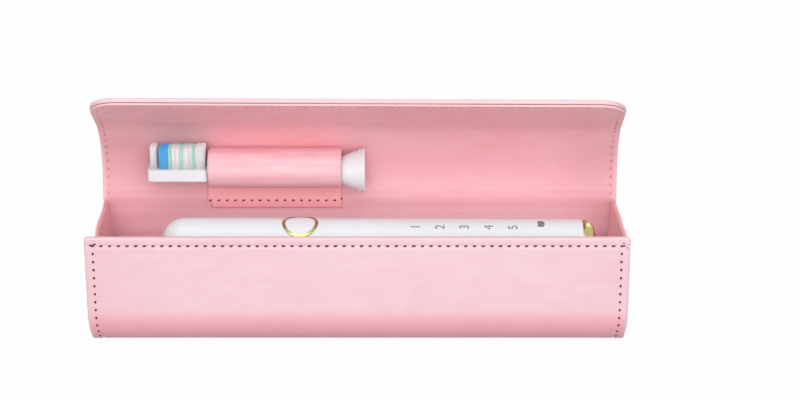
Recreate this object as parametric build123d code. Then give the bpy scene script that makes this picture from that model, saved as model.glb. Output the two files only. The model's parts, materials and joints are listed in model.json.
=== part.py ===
"""Electric toothbrush travel case: a folded leather box with a curved lid, a handle and a brush head.

Millimetres. +X runs along the case, +Y towards its back, +Z up. The origin is the centre of the base.
The rest pose has the lid open, the handle in its foam bed and the brush head in the loop on the lid.
"""

import os
from math import acos, asin, cos, degrees, radians, sin, sqrt

from build123d import *

# ---------------------------------------------------------------- case
CASE_LENGTH = 225.0
CASE_DEPTH = 61.5
FRONT_HEIGHT = 49.5
BOTTOM_RADIUS = 14.0

COVER = 1.0  # outer leather
BOARD = 1.3  # stiffener between the two skins
LINING = 1.0  # inner leather
SEAM_INSET = 4.0  # thread line to the free edge
THREAD_WIDTH = 0.6
THREAD_HEIGHT = 0.3
FILLER_INSET = 3.0  # padding strips in the bottom bends, to the end of the case

PANEL = 1.5  # end panel leather
PANEL_LINING = 0.8
PANEL_INSET = 4.2  # inner face of an end panel to the end of the case
PANEL_FLANGE_INSET = 0.5
PANEL_FRONT_DROP = 0.5  # end panel below the lip of the front wall
PANEL_BACK_RISE = 2.8  # end panel above the hinge line, past the middle
PANEL_CORNER_RISE = 0.0  # end panel above the hinge line, near the back
PANEL_CORNER_DROP = 4.5  # end panel below the hinge line, at the back wall

BED_UNDER_HANDLE = 6.4  # top of the foam below the handle's axis
BED_GAP = 0.3
BED_END_GAP = 1.5

# ---------------------------------------------------------------- hinge and lid
HINGE_DROP = 3.5  # hinge line below the top of the front wall
HINGE_BEAD = 1.35  # radius of the folded leather at the hinge line
HINGE_GAP = 0.35
HINGE_WEB = 2.0  # hinge line to where the lid's layers start
HINGE_STRIP = 5.8  # height of the bare leather strip above the back board

LID_LEAN = 17.0  # degrees the lid leans back where it leaves the hinge
LID_BASE = 2.5  # straight stretch at the hinge
LID_RADIUS = 30.5  # inner face of the curved stretch
LID_TURN = 72.0  # degrees turned by the curve
LID_OVERHANG = 3.64  # free edge in front of the front wall, with the lid shut
LID_RIM_GAP = 0.79  # lid above the rim of the front wall, with the lid shut
LID_CORNER = 12.0
LID_THREAD_INSET = 2.8
LID_THREAD_START = 2.2  # hinge line to the ends of the lid's thread

MAGNET_RADIUS = 4.0
MAGNET_SPREAD = 55.0  # each magnet from the centre
MAGNET_INSET = 7.0  # magnet centre to the free edge
MAGNET_GAP = 0.1

# ---------------------------------------------------------------- handle: X counts from its nose
HANDLE_RADIUS = 14.2
HANDLE_TAPER = 0.8  # how much smaller the radius is at the base
HANDLE_WALL = 1.8
HANDLE_TILT = 14.0  # degrees the button faces towards the front
HANDLE_FRONT_GAP = 1.45
HANDLE_RISE = 1.15  # top of the handle above the front wall
HANDLE_NOSE_SPACE = 25.7  # end panel to nose
HANDLE_END_SPACE = 8.7  # base to end panel
TAPER_START = 25.0
NOSE_RIM = 4.2  # radius of the opening in the nose

SHAFT_RADIUS = 2.0
SHAFT_STEP = 0.25  # how much thinner the shaft is in the seal and motor
SHAFT_CHAMFER = 0.4
SHAFT_OUT = 16.0
SHAFT_IN = 28.0
SHAFT_GAP = 0.05  # round the turning shaft
SEAL_LENGTH = 4.5
SEAL_PROUD = 1.2
SEAL_CHAMFER = 1.0

BUTTON_X = 58.5
BUTTON_RADIUS = 6.2
BUTTON_GAP = 0.1
BUTTON_PROUD = 0.2
BUTTON_TRAVEL = 0.6
BUTTON_FLANGE = 0.8
BUTTON_FLANGE_LEDGE = 1.0
BUTTON_FLANGE_DEPTH = 5.6  # underside of the flange below the shell's surface
RING_WIDTH = 1.2
RING_PROUD = 0.3

CHASSIS_START = 20.6
CHASSIS_END_SPACE = 12.0  # chassis to the open end of the shell
CHASSIS_WALL = 1.2
CHASSIS_GAP = 0.2
MOTOR_LENGTH = 26.0
MOTOR_GAP = 0.7
CELL_RADIUS = 7.1
CELL_LENGTH = 50.0
CELL_START = 74.6
CELL_GAP = 0.1
PLATE = 1.2  # circuit board
PLATE_GAP = 0.5  # above the battery cell
PLATE_EDGE = 0.53  # edge of the circuit board inside the chassis rail
PLATE_MOTOR_GAP = 2.0
PLATE_END_GAP = 1.0
SWITCH_SIZE = 6.0
SWITCH_GAP = 0.05
MODE_PITCH = 10.15
MODE_COUNT = 5
MODE_END_SPACE = 29.1  # last mode light to the open end of the shell
GAUGE_END_SPACE = 16.6
LED_LENGTH = 1.6
LED_WIDTH = 1.2
LED_HEIGHT = 0.8

BASE_LENGTH = 5.6  # gold ring beyond the shell
BASE_CAP = 1.8
CAP_RECESS = 0.2  # face of the cap behind the ring's rim
SPIGOT_GAP = 0.4
SPIGOT_WALL = 1.7
SPIGOT_LENGTH = 6.0
ORING_WIRE = 0.45
ORING_SQUEEZE = 0.05  # wire's centre below the spigot's surface
POST_RADIUS = 5.8
POST_LENGTH = 13.8
COIL_GAP = 0.5
COIL_POST_GAP = 0.2
COIL_LENGTH = 7.0
COIL_IN_SPIGOT = 4.0  # how far the coil reaches into the spigot

# ---------------------------------------------------------------- brush head: X counts from its tip
BRUSH_SPACE = 17.6  # end panel to the tip of the brush head
BRUSH_ANGLE = 15.0  # degrees up the lid's curve
BRUSH_LID_GAP = 0.3
BRUSH_SAG = 1.2  # the head hangs in its loop this far below the loop's middle
BRUSH_LENGTH = 93.2
SKIRT_LENGTH = 10.1
SKIRT_RADIUS = 9.75
SKIRT_RIM = 0.6
NECK_RADIUS = 6.0
NECK_THIN_RADIUS = 3.2
HEAD_LENGTH = 26.0
HEAD_NECK_LAP = 0.5
HEAD_HALF_WIDTH = 5.8
HEAD_BOTTOM = -3.7
HEAD_TOP = 1.9
HEAD_CORNER = 1.8
HEAD_CHAMFER = 0.6
SOCKET_GAP = 0.1
SOCKET_LENGTH = 16.0
CLIP_WALL = 0.8
CLIP_RECESS = 0.2
BAND_LENGTH = 1.4
BAND_DEPTH = 0.5
BAND_TO_RIM = 1.0

TUFT_HEIGHT = 10.2
SHORT_TUFT_HEIGHT = 9.6
TUFT_HALF_WIDTH = 4.4
WHITE_TUFTS = ((1.2, 3.8), (10.5, 14.1), (15.5, 19.4), (21.0, 25.4))
BLUE_TUFTS = ((4.8, 8.9),)
MINT_TUFTS = ((9.1, 10.3), (14.3, 15.3), (19.6, 20.8))

LOOP_HEAD_GAP = 0.2
LOOP_NECK_GAP = 1.5
LOOP_SKIRT_GAP = 0.5
LOOP_LEATHER = 1.2
LOOP_TOP_FOOT = 3.5
LOOP_TAB = 8.0
LOOP_FOOT_LAP = 3.0  # degrees that each foot runs into the arch
LOOP_THREAD_DROP = 5.7  # row of thread below the arch
LOOP_THREAD_INSET = 1.0

# ---------------------------------------------------------------- worked-out sizes and places
PAST = 1.0  # how far a cut runs past what it cuts
FAR = 100.0
WALL = COVER + BOARD + LINING
HALF_LENGTH = CASE_LENGTH / 2
HALF_DEPTH = CASE_DEPTH / 2
PANEL_FACE = HALF_LENGTH - PANEL_INSET
HINGE_Y = HALF_DEPTH - WALL / 2
HINGE_HEIGHT = FRONT_HEIGHT - HINGE_DROP
BACK_TOP = HINGE_HEIGHT - HINGE_BEAD - HINGE_GAP
BACK_BOARD_TOP = BACK_TOP - HINGE_STRIP
FRONT_MAGNET_Z = FRONT_HEIGHT - MAGNET_INSET

HANDLE_Y = -HALF_DEPTH + WALL + HANDLE_FRONT_GAP + HANDLE_RADIUS
HANDLE_Z = FRONT_HEIGHT + HANDLE_RISE - HANDLE_RADIUS
HANDLE_NOSE = -PANEL_FACE + HANDLE_NOSE_SPACE
HANDLE_LENGTH = PANEL_FACE - HANDLE_END_SPACE - BASE_LENGTH - HANDLE_NOSE
HANDLE_BASE_RADIUS = HANDLE_RADIUS - HANDLE_TAPER
NOSE_ROUND = HANDLE_RADIUS - NOSE_RIM
BED_TOP = HANDLE_Z - BED_UNDER_HANDLE
BASE_FACE = HANDLE_LENGTH + BASE_LENGTH
BASE_FACE_RADIUS = HANDLE_BASE_RADIUS - BASE_LENGTH
SPIGOT_RADIUS = HANDLE_BASE_RADIUS - HANDLE_WALL - SPIGOT_GAP
SPIGOT_BORE = SPIGOT_RADIUS - SPIGOT_WALL
SPIGOT_START = HANDLE_LENGTH - SPIGOT_LENGTH
CHASSIS_RADIUS = HANDLE_BASE_RADIUS - HANDLE_WALL - CHASSIS_GAP
CHASSIS_BORE = CHASSIS_RADIUS - CHASSIS_WALL
CELL_Z = CELL_RADIUS + CELL_GAP - CHASSIS_BORE
PLATE_Z = CELL_Z + CELL_RADIUS + PLATE_GAP  # underside of the circuit board
SHAFT_INNER_RADIUS = SHAFT_RADIUS - SHAFT_STEP
SHAFT_HOLE = SHAFT_INNER_RADIUS + SHAFT_GAP
RING_RADIUS = BUTTON_RADIUS + BUTTON_GAP + RING_WIDTH
BUTTON_FLANGE_Z = HANDLE_RADIUS - BUTTON_FLANGE_DEPTH

SKIRT_START = BRUSH_LENGTH - SKIRT_LENGTH
NECK_START = HEAD_LENGTH - HEAD_NECK_LAP
LOOP_START = HEAD_LENGTH + LOOP_HEAD_GAP
SOCKET_RADIUS = SHAFT_RADIUS + SOCKET_GAP
LOOP_INNER = NECK_RADIUS + LOOP_NECK_GAP
LOOP_OUTER = LOOP_INNER + LOOP_LEATHER


def heading(lean):
    """Direction up the lid's section for a forward lean in degrees, in the YZ plane."""
    return Vector(-sin(radians(lean)), cos(radians(lean)))


def outward(lean):
    """Direction from the lid's inner face to its outer face, in the YZ plane."""
    return Vector(cos(radians(lean)), sin(radians(lean)))


def shut_turn(hinge, face_point, lean):
    """Degrees the lid turns until its straight tip, at that lean, lies just above the front rim."""
    rim = Vector(-HALF_DEPTH, FRONT_HEIGHT) - hinge
    face_distance = (face_point - hinge).dot(outward(lean)) - LID_RIM_GAP
    rim_direction = degrees(acos(rim.X / rim.length))
    return rim_direction - degrees(acos(face_distance / rim.length)) - lean


HINGE = Vector(HINGE_Y, HINGE_HEIGHT)
FREE_LEAN = LID_TURN - LID_LEAN  # degrees the free edge leans forward
LID_FOOT = HINGE - outward(-LID_LEAN) * (WALL / 2)
CURVE_START = LID_FOOT + heading(-LID_LEAN) * LID_BASE
CURVE_CENTRE = CURVE_START - outward(-LID_LEAN) * LID_RADIUS
CURVE_END = CURVE_CENTRE + outward(FREE_LEAN) * LID_RADIUS
LID_SHUT = shut_turn(HINGE, CURVE_END, FREE_LEAN)
SHUT_CURVE_END = HINGE + (CURVE_END - HINGE).rotate(Axis.Z, LID_SHUT)
LID_TIP = (SHUT_CURVE_END.X + HALF_DEPTH + LID_OVERHANG) / sin(radians(FREE_LEAN + LID_SHUT))
LID_EDGE = CURVE_END + heading(FREE_LEAN) * LID_TIP
BRUSH_TIP = -PANEL_FACE + BRUSH_SPACE
BRUSH_AXIS = CURVE_CENTRE + outward(BRUSH_ANGLE) * (LID_RADIUS - SKIRT_RADIUS - BRUSH_LID_GAP)


# ---------------------------------------------------------------- helpers
def span(x0, x1, y0, y1, z0, z1):
    """A box given by its limits along X, Y and Z."""
    middle = Pos((x0 + x1) / 2, (y0 + y1) / 2, (z0 + z1) / 2)
    return middle * Box(x1 - x0, y1 - y0, z1 - z0)


def above(z, y0=-FAR, y1=FAR):
    """All the space above a height, between two places in depth."""
    return span(-HALF_LENGTH - PAST, HALF_LENGTH + PAST, y0, y1, z, z + FAR)


def along(face, x0, x1):
    """A face drawn in (Y, Z) and carried from x0 to x1."""
    return Pos(x0, 0, 0) * extrude(Plane.YZ * face, amount=x1 - x0)


def rod(radius, x0, x1, z=0.0):
    """A round bar along X."""
    return along(Pos(0, z) * Circle(radius), x0, x1)


def turned(edges):
    """A solid turned about X from edges drawn in (x, radius)."""
    return revolve(make_face(edges), axis=Axis.X)


def turned_polygon(*corners):
    """A solid turned about X from straight-sided corners in (x, radius)."""
    return turned(Polyline(*corners, close=True))


def both_sides(make):
    """The solids that a function makes for the left side and the right side, as one shape."""
    return one_shape([make(side) for side in (-1, 1)])


def one_shape(shapes):
    return Compound(children=[solid for shape in shapes for solid in shape.solids()])


def on_side(shape, side):
    """A shape made for the right end, carried to the end that is asked for."""
    return shape if side > 0 else mirror(shape, about=Plane.YZ)


def box_section(inset, top):
    """The case's section, with its rounded bottom, taken in by an inset."""
    half, radius = HALF_DEPTH - inset, BOTTOM_RADIUS - inset
    path = Polyline((half, inset + radius), (half, top), (-half, top), (-half, inset + radius))
    bend = radius * (1 - cos(radians(45)))
    left = ThreePointArc((-half, inset + radius), (-half + bend, inset + bend), (-half + radius, inset))
    floor = Line((-half + radius, inset), (half - radius, inset))
    right = ThreePointArc((half - radius, inset), (half - bend, inset + bend), (half, inset + radius))
    return make_face(path.edges() + [left, floor, right])


def case_layer(outer, inner, half_length, front_top, back_top):
    """One layer of the folded strip that is the case's front, base and back."""
    layer = along(box_section(outer, front_top), -half_length, half_length)
    layer -= along(box_section(inner, front_top + PAST), -half_length - PAST, half_length + PAST)
    return layer - above(back_top, y0=0)


def flat(point):
    return (point.X, point.Y)


def lid_side(depth, start, trim):
    """Points of the lid's section at a depth from its inner face."""
    foot = LID_FOOT + outward(-LID_LEAN) * depth + heading(-LID_LEAN) * start
    low = CURVE_START + outward(-LID_LEAN) * depth
    middle = CURVE_CENTRE + outward((FREE_LEAN - LID_LEAN) / 2) * (LID_RADIUS + depth)
    high = CURVE_END + outward(FREE_LEAN) * depth
    edge = LID_EDGE + outward(FREE_LEAN) * depth - heading(FREE_LEAN) * trim
    return [flat(p) for p in (foot, low, middle, high, edge)]


def lid_layer(inner, outer, inset, start=HINGE_WEB):
    """One layer of the lid between two depths, taken in from its sides and free edge."""
    a, b = lid_side(inner, start, inset), lid_side(outer, start, inset)
    edges = [
        Line(a[0], a[1]),
        ThreePointArc(a[1], a[2], a[3]),
        Line(a[3], a[4]),
        Line(a[4], b[4]),
        Line(b[4], b[3]),
        ThreePointArc(b[3], b[2], b[1]),
        Line(b[1], b[0]),
        Line(b[0], a[0]),
    ]
    half = HALF_LENGTH - inset
    sheet = along(make_face(edges), -half, half)
    for side in (-1, 1):
        sheet -= corner_cut(side, half, LID_CORNER - inset, inset)
    return sheet


def lid_plane(x, back, depth=0.0):
    """A plane on the lid's straight tip: local X along the case, local Y to the free edge."""
    point = LID_EDGE - heading(FREE_LEAN) * back + outward(FREE_LEAN) * depth
    inward = -outward(FREE_LEAN)
    return Plane(origin=(x, point.X, point.Y), x_dir=(1, 0, 0), z_dir=(0, inward.X, inward.Y))


def corner_cut(side, half, radius, inset):
    """What is taken off a free corner of the lid to round it."""
    square = Pos(side * radius, radius) * Rectangle(2 * radius, 2 * radius)
    tool = extrude(square - Circle(radius), amount=2 * LID_CORNER, both=True)
    return lid_plane(side * (half - radius), radius + inset) * tool


def handle_frame(shape):
    """Carries a piece drawn from the handle's nose to the handle's place and tilt."""
    return Pos(HANDLE_NOSE, HANDLE_Y, HANDLE_Z) * Rot(HANDLE_TILT, 0, 0) * shape


def brush_frame(shape):
    """Carries a piece drawn from the brush head's tip to its place on the lid."""
    return Pos(BRUSH_TIP, BRUSH_AXIS.X, BRUSH_AXIS.Y - BRUSH_SAG) * shape


# ---------------------------------------------------------------- case: cover, boards, lining
def case_cover():
    """The outer leather, with the lip that turns in over the top of the front wall."""
    layer = case_layer(0, COVER, HALF_LENGTH, FRONT_HEIGHT, BACK_TOP)
    front = -HALF_DEPTH
    lip = span(-HALF_LENGTH, HALF_LENGTH, front, front + WALL, FRONT_HEIGHT - COVER, FRONT_HEIGHT)
    return layer + lip


def magnet_pocket():
    return Cylinder(MAGNET_RADIUS + MAGNET_GAP, BOARD + 2 * PAST)


def front_magnet_place(side):
    return Pos(side * MAGNET_SPREAD, -HALF_DEPTH + COVER + BOARD / 2, FRONT_MAGNET_Z) * Rot(90, 0, 0)


def lid_magnet_place(side):
    return lid_plane(side * MAGNET_SPREAD, MAGNET_INSET, LINING + BOARD / 2)


def front_board():
    half, front = HALF_LENGTH - COVER, -HALF_DEPTH + COVER
    board = span(-half, half, front, front + BOARD, BOTTOM_RADIUS, FRONT_HEIGHT - COVER)
    for side in (-1, 1):
        board -= front_magnet_place(side) * magnet_pocket()
    return board


def base_board():
    half, flat_half = HALF_LENGTH - COVER, HALF_DEPTH - BOTTOM_RADIUS
    return span(-half, half, -flat_half, flat_half, COVER, COVER + BOARD)


def back_board():
    half, back = HALF_LENGTH - COVER, HALF_DEPTH - COVER
    return span(-half, half, back - BOARD, back, BOTTOM_RADIUS, BACK_BOARD_TOP)


def hinge_strip():
    """The bare leather above the back board, which bends when the lid folds back."""
    half, back = HALF_LENGTH - COVER, HALF_DEPTH - COVER
    return span(-half, half, back - BOARD, back, BACK_BOARD_TOP, BACK_TOP)


def bend_fillers():
    """The padding strips that fill the rounded bottom bends between cover and lining."""
    half, flat_half = HALF_LENGTH - FILLER_INSET, HALF_DEPTH - BOTTOM_RADIUS
    band = case_layer(COVER, COVER + BOARD, half, FRONT_HEIGHT, BACK_TOP)
    band -= above(BOTTOM_RADIUS)
    return one_shape([band - above(-PAST, -flat_half, flat_half)])


def case_lining():
    return case_layer(WALL - LINING, WALL, HALF_LENGTH, FRONT_HEIGHT - COVER, BACK_TOP)


def case_magnets():
    return both_sides(lambda side: front_magnet_place(side) * Cylinder(MAGNET_RADIUS, BOARD))


# ---------------------------------------------------------------- case: ends and foam
def panel_outline(inset):
    """An end panel's outline: the case's section under a top edge that falls to the back."""
    back_rise = HINGE_HEIGHT + PANEL_BACK_RISE
    top_edge = Polyline(
        (-HALF_DEPTH, -PAST),
        (-HALF_DEPTH, FRONT_HEIGHT - COVER - PANEL_FRONT_DROP),
        (HALF_DEPTH / 2, back_rise),
        (HALF_DEPTH - 2 * WALL, HINGE_HEIGHT + PANEL_CORNER_RISE),
        (HALF_DEPTH, HINGE_HEIGHT - PANEL_CORNER_DROP),
        (HALF_DEPTH, -PAST),
        close=True,
    )
    return box_section(inset, FRONT_HEIGHT) & make_face(top_edge)


def end_panel(side):
    """A leather end panel, with the flange that is sewn to the front, base and back."""
    face = along(panel_outline(WALL), PANEL_FACE, PANEL_FACE + PANEL)
    flange = along(panel_outline(WALL), PANEL_FACE, HALF_LENGTH - PANEL_FLANGE_INSET)
    flange -= along(box_section(WALL + PANEL, FRONT_HEIGHT + PAST), 0, HALF_LENGTH + PAST)
    return on_side(face + flange, side)


def end_lining(side):
    plate = along(panel_outline(WALL + PANEL), PANEL_FACE - PANEL_LINING, PANEL_FACE)
    return on_side(plate, side)


def foam_bed():
    """The foam insert, with a half-round bed that follows the handle."""
    half_length = PANEL_FACE - PANEL_LINING - BED_GAP
    section = Pos(0, -BED_GAP) * box_section(WALL + BED_GAP, BED_TOP + BED_GAP)
    bed = along(section, -half_length, half_length)
    radius = HANDLE_RADIUS + BED_GAP
    start, end = -BED_END_GAP, BASE_FACE + BED_END_GAP
    groove = rod(radius, start, end) + span(start, end, -radius, radius, 0, FAR)
    return bed - Pos(HANDLE_NOSE, HANDLE_Y, HANDLE_Z) * groove


# ---------------------------------------------------------------- case: seam threads
def front_thread():
    half, top = HALF_LENGTH - SEAM_INSET, FRONT_HEIGHT - SEAM_INSET + THREAD_WIDTH
    return span(-half, half, -HALF_DEPTH - THREAD_HEIGHT, -HALF_DEPTH, top - THREAD_WIDTH, top)


def side_thread(side):
    """The thread of one side seam, up the front and up the back."""
    x = HALF_LENGTH - SEAM_INSET
    thread = along(box_section(-THREAD_HEIGHT, FRONT_HEIGHT), x - THREAD_WIDTH / 2, x + THREAD_WIDTH / 2)
    thread -= along(box_section(0, FRONT_HEIGHT + PAST), 0, HALF_LENGTH + PAST)
    thread -= span(0, HALF_LENGTH, -HALF_DEPTH - PAST, HALF_DEPTH + PAST, -PAST, BOTTOM_RADIUS)
    thread -= above(BACK_TOP - THREAD_WIDTH, y0=0)
    thread -= above(FRONT_HEIGHT - SEAM_INSET - THREAD_WIDTH, y1=0)
    return one_shape([on_side(thread, side)])


# ---------------------------------------------------------------- lid
def lid_cover():
    """The lid's outer leather, turned in over its three free edges."""
    sheet = lid_layer(WALL - COVER, WALL, 0)
    turned_in = lid_layer(0, WALL, 0) - lid_layer(-PAST, WALL + PAST, COVER, start=-PAST)
    return sheet + turned_in


def lid_board():
    board = lid_layer(LINING, LINING + BOARD, COVER)
    for side in (-1, 1):
        board -= lid_magnet_place(side) * magnet_pocket()
    return board


def lid_lining():
    return lid_layer(0, LINING, COVER)


def lid_magnets():
    return both_sides(lambda side: lid_magnet_place(side) * Cylinder(MAGNET_RADIUS, BOARD))


def lid_thread():
    """The thread round the lid's three free sides, on its lining."""
    outer = lid_layer(-THREAD_HEIGHT, 0, LID_THREAD_INSET - THREAD_WIDTH / 2, start=LID_THREAD_START)
    inner = lid_layer(-THREAD_HEIGHT - PAST, PAST, LID_THREAD_INSET + THREAD_WIDTH / 2, start=-PAST)
    return one_shape([outer - inner])


def hinge_fold():
    """The folded leather on the hinge line, and the web that joins it to the lid's layers."""
    half = HALF_LENGTH - COVER
    bead = along(Pos(HINGE.X, HINGE.Y) * Circle(HINGE_BEAD), -half, half)
    out = outward(-LID_LEAN) * (BOARD / 2)
    top = HINGE + heading(-LID_LEAN) * HINGE_WEB
    web = Polyline(flat(HINGE - out), flat(top - out), flat(top + out), flat(HINGE + out), close=True)
    return bead + along(make_face(web), -half, half)


# ---------------------------------------------------------------- brush loop
def curve_sector(a0, a1):
    """A wedge about the lid curve's centre between two angles in degrees."""
    reach = 2 * LID_RADIUS
    far_corners = [flat(CURVE_CENTRE + outward(a) * reach) for a in (a0, a1)]
    return make_face(Polyline(flat(CURVE_CENTRE), *far_corners, close=True))


def curve_degrees(length):
    """Degrees about the lid curve's centre that a length on the lining takes up."""
    return degrees(length / LID_RADIUS)


LOOP_LEG = degrees(asin(LOOP_OUTER / LID_RADIUS))  # from the brush axis to either foot


def brush_loop():
    """The leather loop round the brush neck: an arch, a short top foot and a sewn lower tab."""
    reach = 2 * LOOP_OUTER
    arch = Circle(LOOP_OUTER) + Pos(LOOP_OUTER, 0) * Rectangle(reach, reach)
    hole = Circle(LOOP_INNER) + Pos(LOOP_OUTER, 0) * Rectangle(reach, 2 * LOOP_INNER)
    to_brush = Pos(BRUSH_AXIS.X, BRUSH_AXIS.Y) * Rot(0, 0, BRUSH_ANGLE)
    to_curve = Pos(CURVE_CENTRE.X, CURVE_CENTRE.Y)
    shell = to_brush * (arch - hole) & to_curve * Circle(LID_RADIUS)
    band = to_curve * (Circle(LID_RADIUS) - Circle(LID_RADIUS - LOOP_LEATHER))
    top, low = BRUSH_ANGLE + LOOP_LEG, BRUSH_ANGLE - LOOP_LEG
    top_foot = curve_sector(top - LOOP_FOOT_LAP, top + curve_degrees(LOOP_TOP_FOOT))
    tab = curve_sector(low - curve_degrees(LOOP_TAB), low + LOOP_FOOT_LAP)
    feet = (band & (top_foot + tab)) - to_brush * hole
    return along(shell + feet, LOOP_START, SKIRT_START - LOOP_SKIRT_GAP)


def loop_thread():
    """The row of thread that holds the loop's tab to the lid."""
    outer = LID_RADIUS - LOOP_LEATHER
    band = Pos(CURVE_CENTRE.X, CURVE_CENTRE.Y) * (Circle(outer) - Circle(outer - THREAD_HEIGHT))
    middle = BRUSH_ANGLE - LOOP_LEG - curve_degrees(LOOP_THREAD_DROP)
    half = curve_degrees(THREAD_WIDTH / 2)
    start, end = LOOP_START + LOOP_THREAD_INSET, SKIRT_START - LOOP_SKIRT_GAP - LOOP_THREAD_INSET
    return along(band & curve_sector(middle - half, middle + half), start, end)


# ---------------------------------------------------------------- handle: shell and button
def handle_side(inset):
    """Points of the shell's outline in (x, radius), from its nose to its open end."""
    bend, centre_r = NOSE_ROUND - inset, HANDLE_RADIUS - NOSE_ROUND
    low = (NOSE_ROUND - bend, centre_r)
    middle = (NOSE_ROUND - bend * cos(radians(45)), centre_r + bend * sin(radians(45)))
    high = (NOSE_ROUND, centre_r + bend)
    shoulder = (TAPER_START, HANDLE_RADIUS - inset)
    end = (HANDLE_LENGTH, HANDLE_BASE_RADIUS - inset)
    return low, middle, high, shoulder, end


def handle_shell():
    low, middle, high, shoulder, end = handle_side(0)
    low2, middle2, high2, shoulder2, end2 = handle_side(HANDLE_WALL)
    edges = [ThreePointArc(low, middle, high), Line(high, shoulder), Line(shoulder, end)]
    edges += [Line(end, end2), Line(end2, shoulder2), Line(shoulder2, high2)]
    edges += [ThreePointArc(high2, middle2, low2), Line(low2, low)]
    return turned(edges) - on_button_axis(RING_RADIUS, 0, HANDLE_RADIUS + PAST)


def on_button_axis(radius, low, high):
    """An upright disc on the button's axis between two heights."""
    return Pos(BUTTON_X, 0, (low + high) / 2) * Cylinder(radius, high - low)


def crowned(radius, low, crown_radius):
    """An upright disc on the button's axis, with a top that follows the round of the handle."""
    return on_button_axis(radius, low, HANDLE_RADIUS + PAST) & rod(
        crown_radius, BUTTON_X - radius - PAST, BUTTON_X + radius + PAST
    )


def button_ring():
    ring = crowned(RING_RADIUS, 0, HANDLE_RADIUS + RING_PROUD)
    ring -= on_button_axis(BUTTON_RADIUS + BUTTON_GAP, -PAST, HANDLE_RADIUS + PAST)
    return ring - rod(HANDLE_RADIUS - HANDLE_WALL, 0, HANDLE_LENGTH)


def button():
    stem = crowned(BUTTON_RADIUS, BUTTON_FLANGE_Z, HANDLE_RADIUS + BUTTON_PROUD)
    flange_radius = BUTTON_RADIUS + BUTTON_FLANGE_LEDGE
    return stem + on_button_axis(flange_radius, BUTTON_FLANGE_Z, BUTTON_FLANGE_Z + BUTTON_FLANGE)


# ---------------------------------------------------------------- handle: works
def button_switch():
    low, high = PLATE_Z + PLATE, BUTTON_FLANGE_Z - BUTTON_TRAVEL - SWITCH_GAP
    half = SWITCH_SIZE / 2
    return span(BUTTON_X - half, BUTTON_X + half, -half, half, low, high)


def circuit_board():
    start = CHASSIS_START + MOTOR_LENGTH + PLATE_MOTOR_GAP
    end = HANDLE_LENGTH - CHASSIS_END_SPACE - PLATE_END_GAP
    half = sqrt(CHASSIS_RADIUS**2 - PLATE_Z**2) - PLATE_EDGE
    return span(start, end, -half, half, PLATE_Z, PLATE_Z + PLATE)


def indicator_lights():
    """One light under each mode number and one under the charge mark."""
    low = PLATE_Z + PLATE
    last_mode = HANDLE_LENGTH - MODE_END_SPACE
    places = [last_mode - MODE_PITCH * i for i in range(MODE_COUNT)]
    places.append(HANDLE_LENGTH - GAUGE_END_SPACE)
    half_x, half_y = LED_LENGTH / 2, LED_WIDTH / 2
    return one_shape([span(x - half_x, x + half_x, -half_y, half_y, low, low + LED_HEIGHT) for x in places])


def drive_shaft():
    tip, end, step = -SHAFT_OUT, SHAFT_IN, -SEAL_PROUD - SHAFT_STEP
    return turned_polygon(
        (tip, 0),
        (tip, SHAFT_RADIUS - SHAFT_CHAMFER),
        (tip + SHAFT_CHAMFER, SHAFT_RADIUS),
        (step, SHAFT_RADIUS),
        (step, SHAFT_INNER_RADIUS),
        (end, SHAFT_INNER_RADIUS),
        (end, 0),
    )


def shaft_seal():
    """The rubber seal in the nose, which the shaft turns in."""
    left, right = -SEAL_PROUD, SEAL_LENGTH - SEAL_PROUD
    return turned_polygon(
        (left, SHAFT_HOLE),
        (left, NOSE_RIM - SEAL_CHAMFER),
        (left + SEAL_CHAMFER, NOSE_RIM),
        (right, NOSE_RIM),
        (right, SHAFT_HOLE),
    )


def motor():
    end = CHASSIS_START + MOTOR_LENGTH
    body = rod(CHASSIS_BORE - MOTOR_GAP, CHASSIS_START, end)
    return body - rod(SHAFT_HOLE, CHASSIS_START - PAST, SHAFT_IN + PAST)


def chassis():
    """The open trough that carries the motor and the cell, with the circuit board on its rails."""
    end = HANDLE_LENGTH - CHASSIS_END_SPACE
    trough = rod(CHASSIS_RADIUS, CHASSIS_START, end)
    trough -= rod(CHASSIS_BORE, CHASSIS_START - PAST, end + PAST)
    return trough - span(0, HANDLE_LENGTH, -HANDLE_RADIUS, HANDLE_RADIUS, PLATE_Z, HANDLE_RADIUS)


def battery_cell():
    return rod(CELL_RADIUS, CELL_START, CELL_START + CELL_LENGTH, CELL_Z)


# ---------------------------------------------------------------- handle: base
def base_ring():
    """The plated ring that ends the handle, with the spigot that plugs the shell."""
    middle = (
        HANDLE_LENGTH + BASE_LENGTH * sin(radians(45)),
        HANDLE_BASE_RADIUS - BASE_LENGTH * (1 - cos(radians(45))),
    )
    rim = (HANDLE_LENGTH, HANDLE_BASE_RADIUS)
    face = (BASE_FACE, BASE_FACE_RADIUS)
    inside = Polyline(
        face,
        (HANDLE_LENGTH, BASE_FACE_RADIUS),
        (HANDLE_LENGTH, SPIGOT_BORE),
        (SPIGOT_START, SPIGOT_BORE),
        (SPIGOT_START, SPIGOT_RADIUS),
        (HANDLE_LENGTH, SPIGOT_RADIUS),
        rim,
    )
    return turned([ThreePointArc(rim, middle, face)] + inside.edges()) - base_oring()


def base_oring():
    wire = Torus(SPIGOT_RADIUS - ORING_SQUEEZE, ORING_WIRE)
    return Pos(HANDLE_LENGTH - SPIGOT_LENGTH / 2, 0, 0) * Rot(0, 90, 0) * wire


def base_cap():
    """The plastic cap in the ring, with the post that carries the charging coil."""
    back = BASE_FACE - BASE_CAP
    return rod(BASE_FACE_RADIUS, back, BASE_FACE - CAP_RECESS) + rod(POST_RADIUS, back - POST_LENGTH, back)


def charging_coil():
    end = SPIGOT_START + COIL_IN_SPIGOT
    start = end - COIL_LENGTH
    hole = rod(POST_RADIUS + COIL_POST_GAP, start - PAST, end + PAST)
    return rod(SPIGOT_BORE - COIL_GAP, start, end) - hole


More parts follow.
